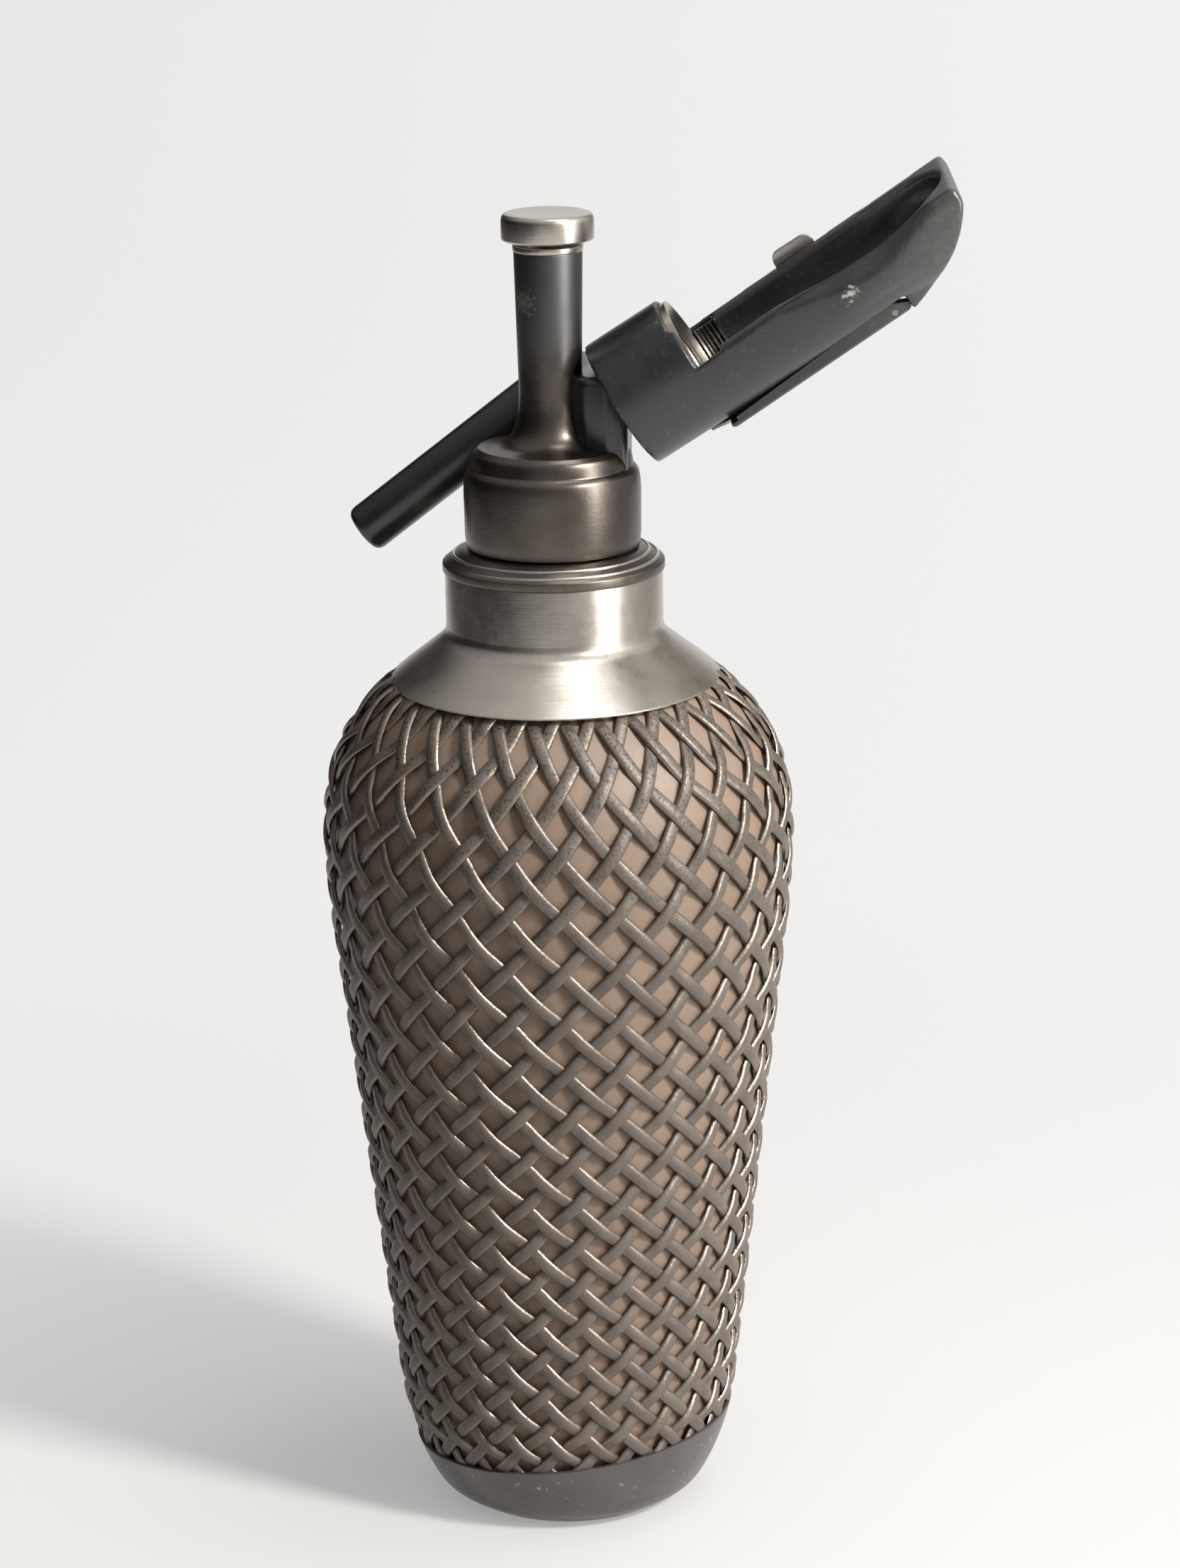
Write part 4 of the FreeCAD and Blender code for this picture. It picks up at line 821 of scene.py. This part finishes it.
# Pieces inside, and small hardware
# The dip tube, valve, seals, springs and screws are seen through the openings or when the head is
# lifted, so each has the finish that such a piece has.
brass, shader, place = new_material("turned brass")
cloud = mottle(brass, place, 150.0, 4.0)
cut = add(brass, "ShaderNodeTexWave", {"Vector": place, "Scale": 900.0, "Distortion": 0.4},
          bands_direction="Z")
tone = blend(brass, cloud, linear("#8a6a35"), linear("#c9a560"))
marks = bumped(brass, cut.outputs["Fac"], 0.08, 0.0002)
feed(brass, shader, {"Base Color": tone, "Normal": marks, "Metallic": 1.0, "Roughness": 0.28})

rubber, shader, place = new_material("aged black rubber")
bloom = mottle(rubber, place, 300.0, 5.0)
tone = blend(rubber, bloom, linear("#201d1b"), linear("#3d3834"))
skin = bumped(rubber, bloom, 0.1, 0.0002)
feed(rubber, shader, {"Base Color": tone, "Normal": skin, "Roughness": 0.7})

steel, shader, place = new_material("drawn steel")
cloud = mottle(steel, place, 260.0, 4.0)
tone = blend(steel, cloud, linear("#77756f"), linear("#b3b0aa"))
matt = ranged(steel, cloud, low=0.2, high=0.4)
feed(steel, shader, {"Base Color": tone, "Roughness": matt, "Metallic": 1.0})

tin, shader, place = new_material("tinned tube")
cloud = mottle(tin, place, 90.0, 5.0)
tone = blend(tin, cloud, linear("#86857f"), linear("#bdbbb4"))
matt = ranged(tin, cloud, low=0.25, high=0.45)
feed(tin, shader, {"Base Color": tone, "Roughness": matt, "Metallic": 1.0})

finishes = {
    brass: ["split_ring", "head_bush", "tube_nut", "valve_stem"],
    rubber: ["neck_washer", "bottle_gasket", "tube_seal", "valve_seat", "valve_disc", "stem_seal",
             "spout_seal", "inlet_washer"],
    steel: ["return_spring", "side_screws", "check_ball", "piercing_needle", "lever_pin", "lever_spring"],
    tin: ["dip_tube"],
    nickel: ["gas_nipple"],
}
for material, names in finishes.items():
    for name in names:
        NODES[name].data.materials.clear()
        NODES[name].data.materials.append(material)

# Floor and light
# A pale sweep of table and wall, dimmed far to the left and the right. A key lamp stands high on the
# right, a tall one beside it draws the lines on the metal, a weak one hangs overhead, and a dim sky
# is brighter on the right.
SWEEP_SIZE = 6.0
SWEEP_HEIGHT = 4.0
SWEEP_BEND = 1.4
bpy.ops.object.select_all(action="DESELECT")
bpy.ops.mesh.primitive_plane_add(size=SWEEP_SIZE, location=(0, 0, -0.0002))
table = bpy.context.object
table.name = "table"
bpy.ops.object.mode_set(mode="EDIT")
bpy.ops.mesh.select_mode(type="EDGE")
bpy.ops.mesh.select_all(action="DESELECT")
bpy.ops.object.mode_set(mode="OBJECT")
for edge in table.data.edges:
    edge.select = all(table.data.vertices[k].co.y > 0 for k in edge.vertices)
bpy.ops.object.mode_set(mode="EDIT")
bpy.ops.mesh.extrude_region_move(TRANSFORM_OT_translate={"value": (0, 0, SWEEP_HEIGHT)})
bpy.ops.object.mode_set(mode="OBJECT")
bend = table.modifiers.new("sweep", "BEVEL")
bend.width = SWEEP_BEND
bend.segments = 24
bpy.ops.object.modifier_apply(modifier=bend.name)
bpy.ops.object.shade_smooth()
cloth, shader, place = new_material("pale studio sweep")
parts = add(cloth, "ShaderNodeSeparateXYZ", {"Vector": place})
away = add(cloth, "ShaderNodeVectorMath", {0: place}, operation="LENGTH")
seen = add(cloth, "ShaderNodeLightPath")
glossy = reckon(cloth, "MAXIMUM", seen.outputs["Is Camera Ray"], seen.outputs["Is Glossy Ray"])
clear = reckon(cloth, "MAXIMUM", glossy, seen.outputs["Is Transmission Ray"])
sideways = ranged(cloth, parts.outputs["X"], -0.5, 0.5)
wall = blend(cloth, sideways, linear("#e9e9e8"), linear("#f5f5f5"))
aside = ranged(cloth, parts.outputs["X"], -0.92, -0.68)
dim = blend(cloth, aside, linear("#34322f"), wall)
beyond = ranged(cloth, parts.outputs["X"], 0.62, 1.3)
shade = blend(cloth, beyond, dim, linear("#8d8a84"))
glow = add(cloth, "ShaderNodeEmission", {"Color": shade, "Strength": 1.0})
far = ranged(cloth, away.outputs["Value"], 0.06, 0.5, 0.36, 0.97, interpolation_type="SMOOTHSTEP")
share = reckon(cloth, "MULTIPLY", far, clear)
lee = ranged(cloth, parts.outputs["X"], -0.35, 0.1)
bounce = blend(cloth, lee, linear("#3c3b3a"), linear("#a3a2a0"))
own = blend(cloth, clear, bounce, linear("#dedddb"))
feed(cloth, shader, {"Base Color": own, "Roughness": 0.8})
mix = add(cloth, "ShaderNodeMixShader", {0: share, 1: shader.outputs[0], 2: glow.outputs[0]})
cloth.node_tree.links.new(mix.outputs[0], cloth.node_tree.nodes["Material Output"].inputs["Surface"])
table.data.materials.append(cloth)


def lamp(name, place, aim, size, power, colour):
    """A rectangular soft lamp that points at a place."""
    bpy.ops.object.light_add(type="AREA", location=place)
    made = bpy.context.object
    made.name = name
    made.data.shape = "RECTANGLE"
    made.data.size, made.data.size_y = size
    made.data.energy = power
    made.data.color = colour
    made.rotation_euler = (Vector(aim) - Vector(place)).to_track_quat("-Z", "Y").to_euler()


lamp("key", place=(1.16, -0.78, 1.2), aim=(0, 0, 0.15), size=(0.26, 0.26), power=32.0,
     colour=(1.0, 0.985, 0.965))
lamp("strip", place=(1.02, -0.6, 0.36), aim=(0, 0, 0.2), size=(0.13, 0.72), power=7.0,
     colour=(1.0, 0.985, 0.96))
lamp("top", place=(0.32, 0.05, 1.7), aim=(0, 0, 0.2), size=(0.55, 0.55), power=4.6,
     colour=(1.0, 1.0, 1.0))

world = bpy.data.worlds.new("studio")
bpy.context.scene.world = world
world.use_nodes = True
sight = add(world, "ShaderNodeTexCoord").outputs["Generated"]
heading = add(world, "ShaderNodeSeparateXYZ", {"Vector": sight})
from_right = ranged(world, heading.outputs["X"], -0.7, 0.9, 0.02, 0.6)
from_above = ranged(world, heading.outputs["Z"], 0.25, 0.8, 0.0, 0.45)
sky_light = reckon(world, "ADD", from_right, from_above)
feed(world, world.node_tree.nodes["Background"], {"Strength": sky_light, "Color": linear("#ecebea")})
bpy.context.scene.view_settings.view_transform = "Standard"
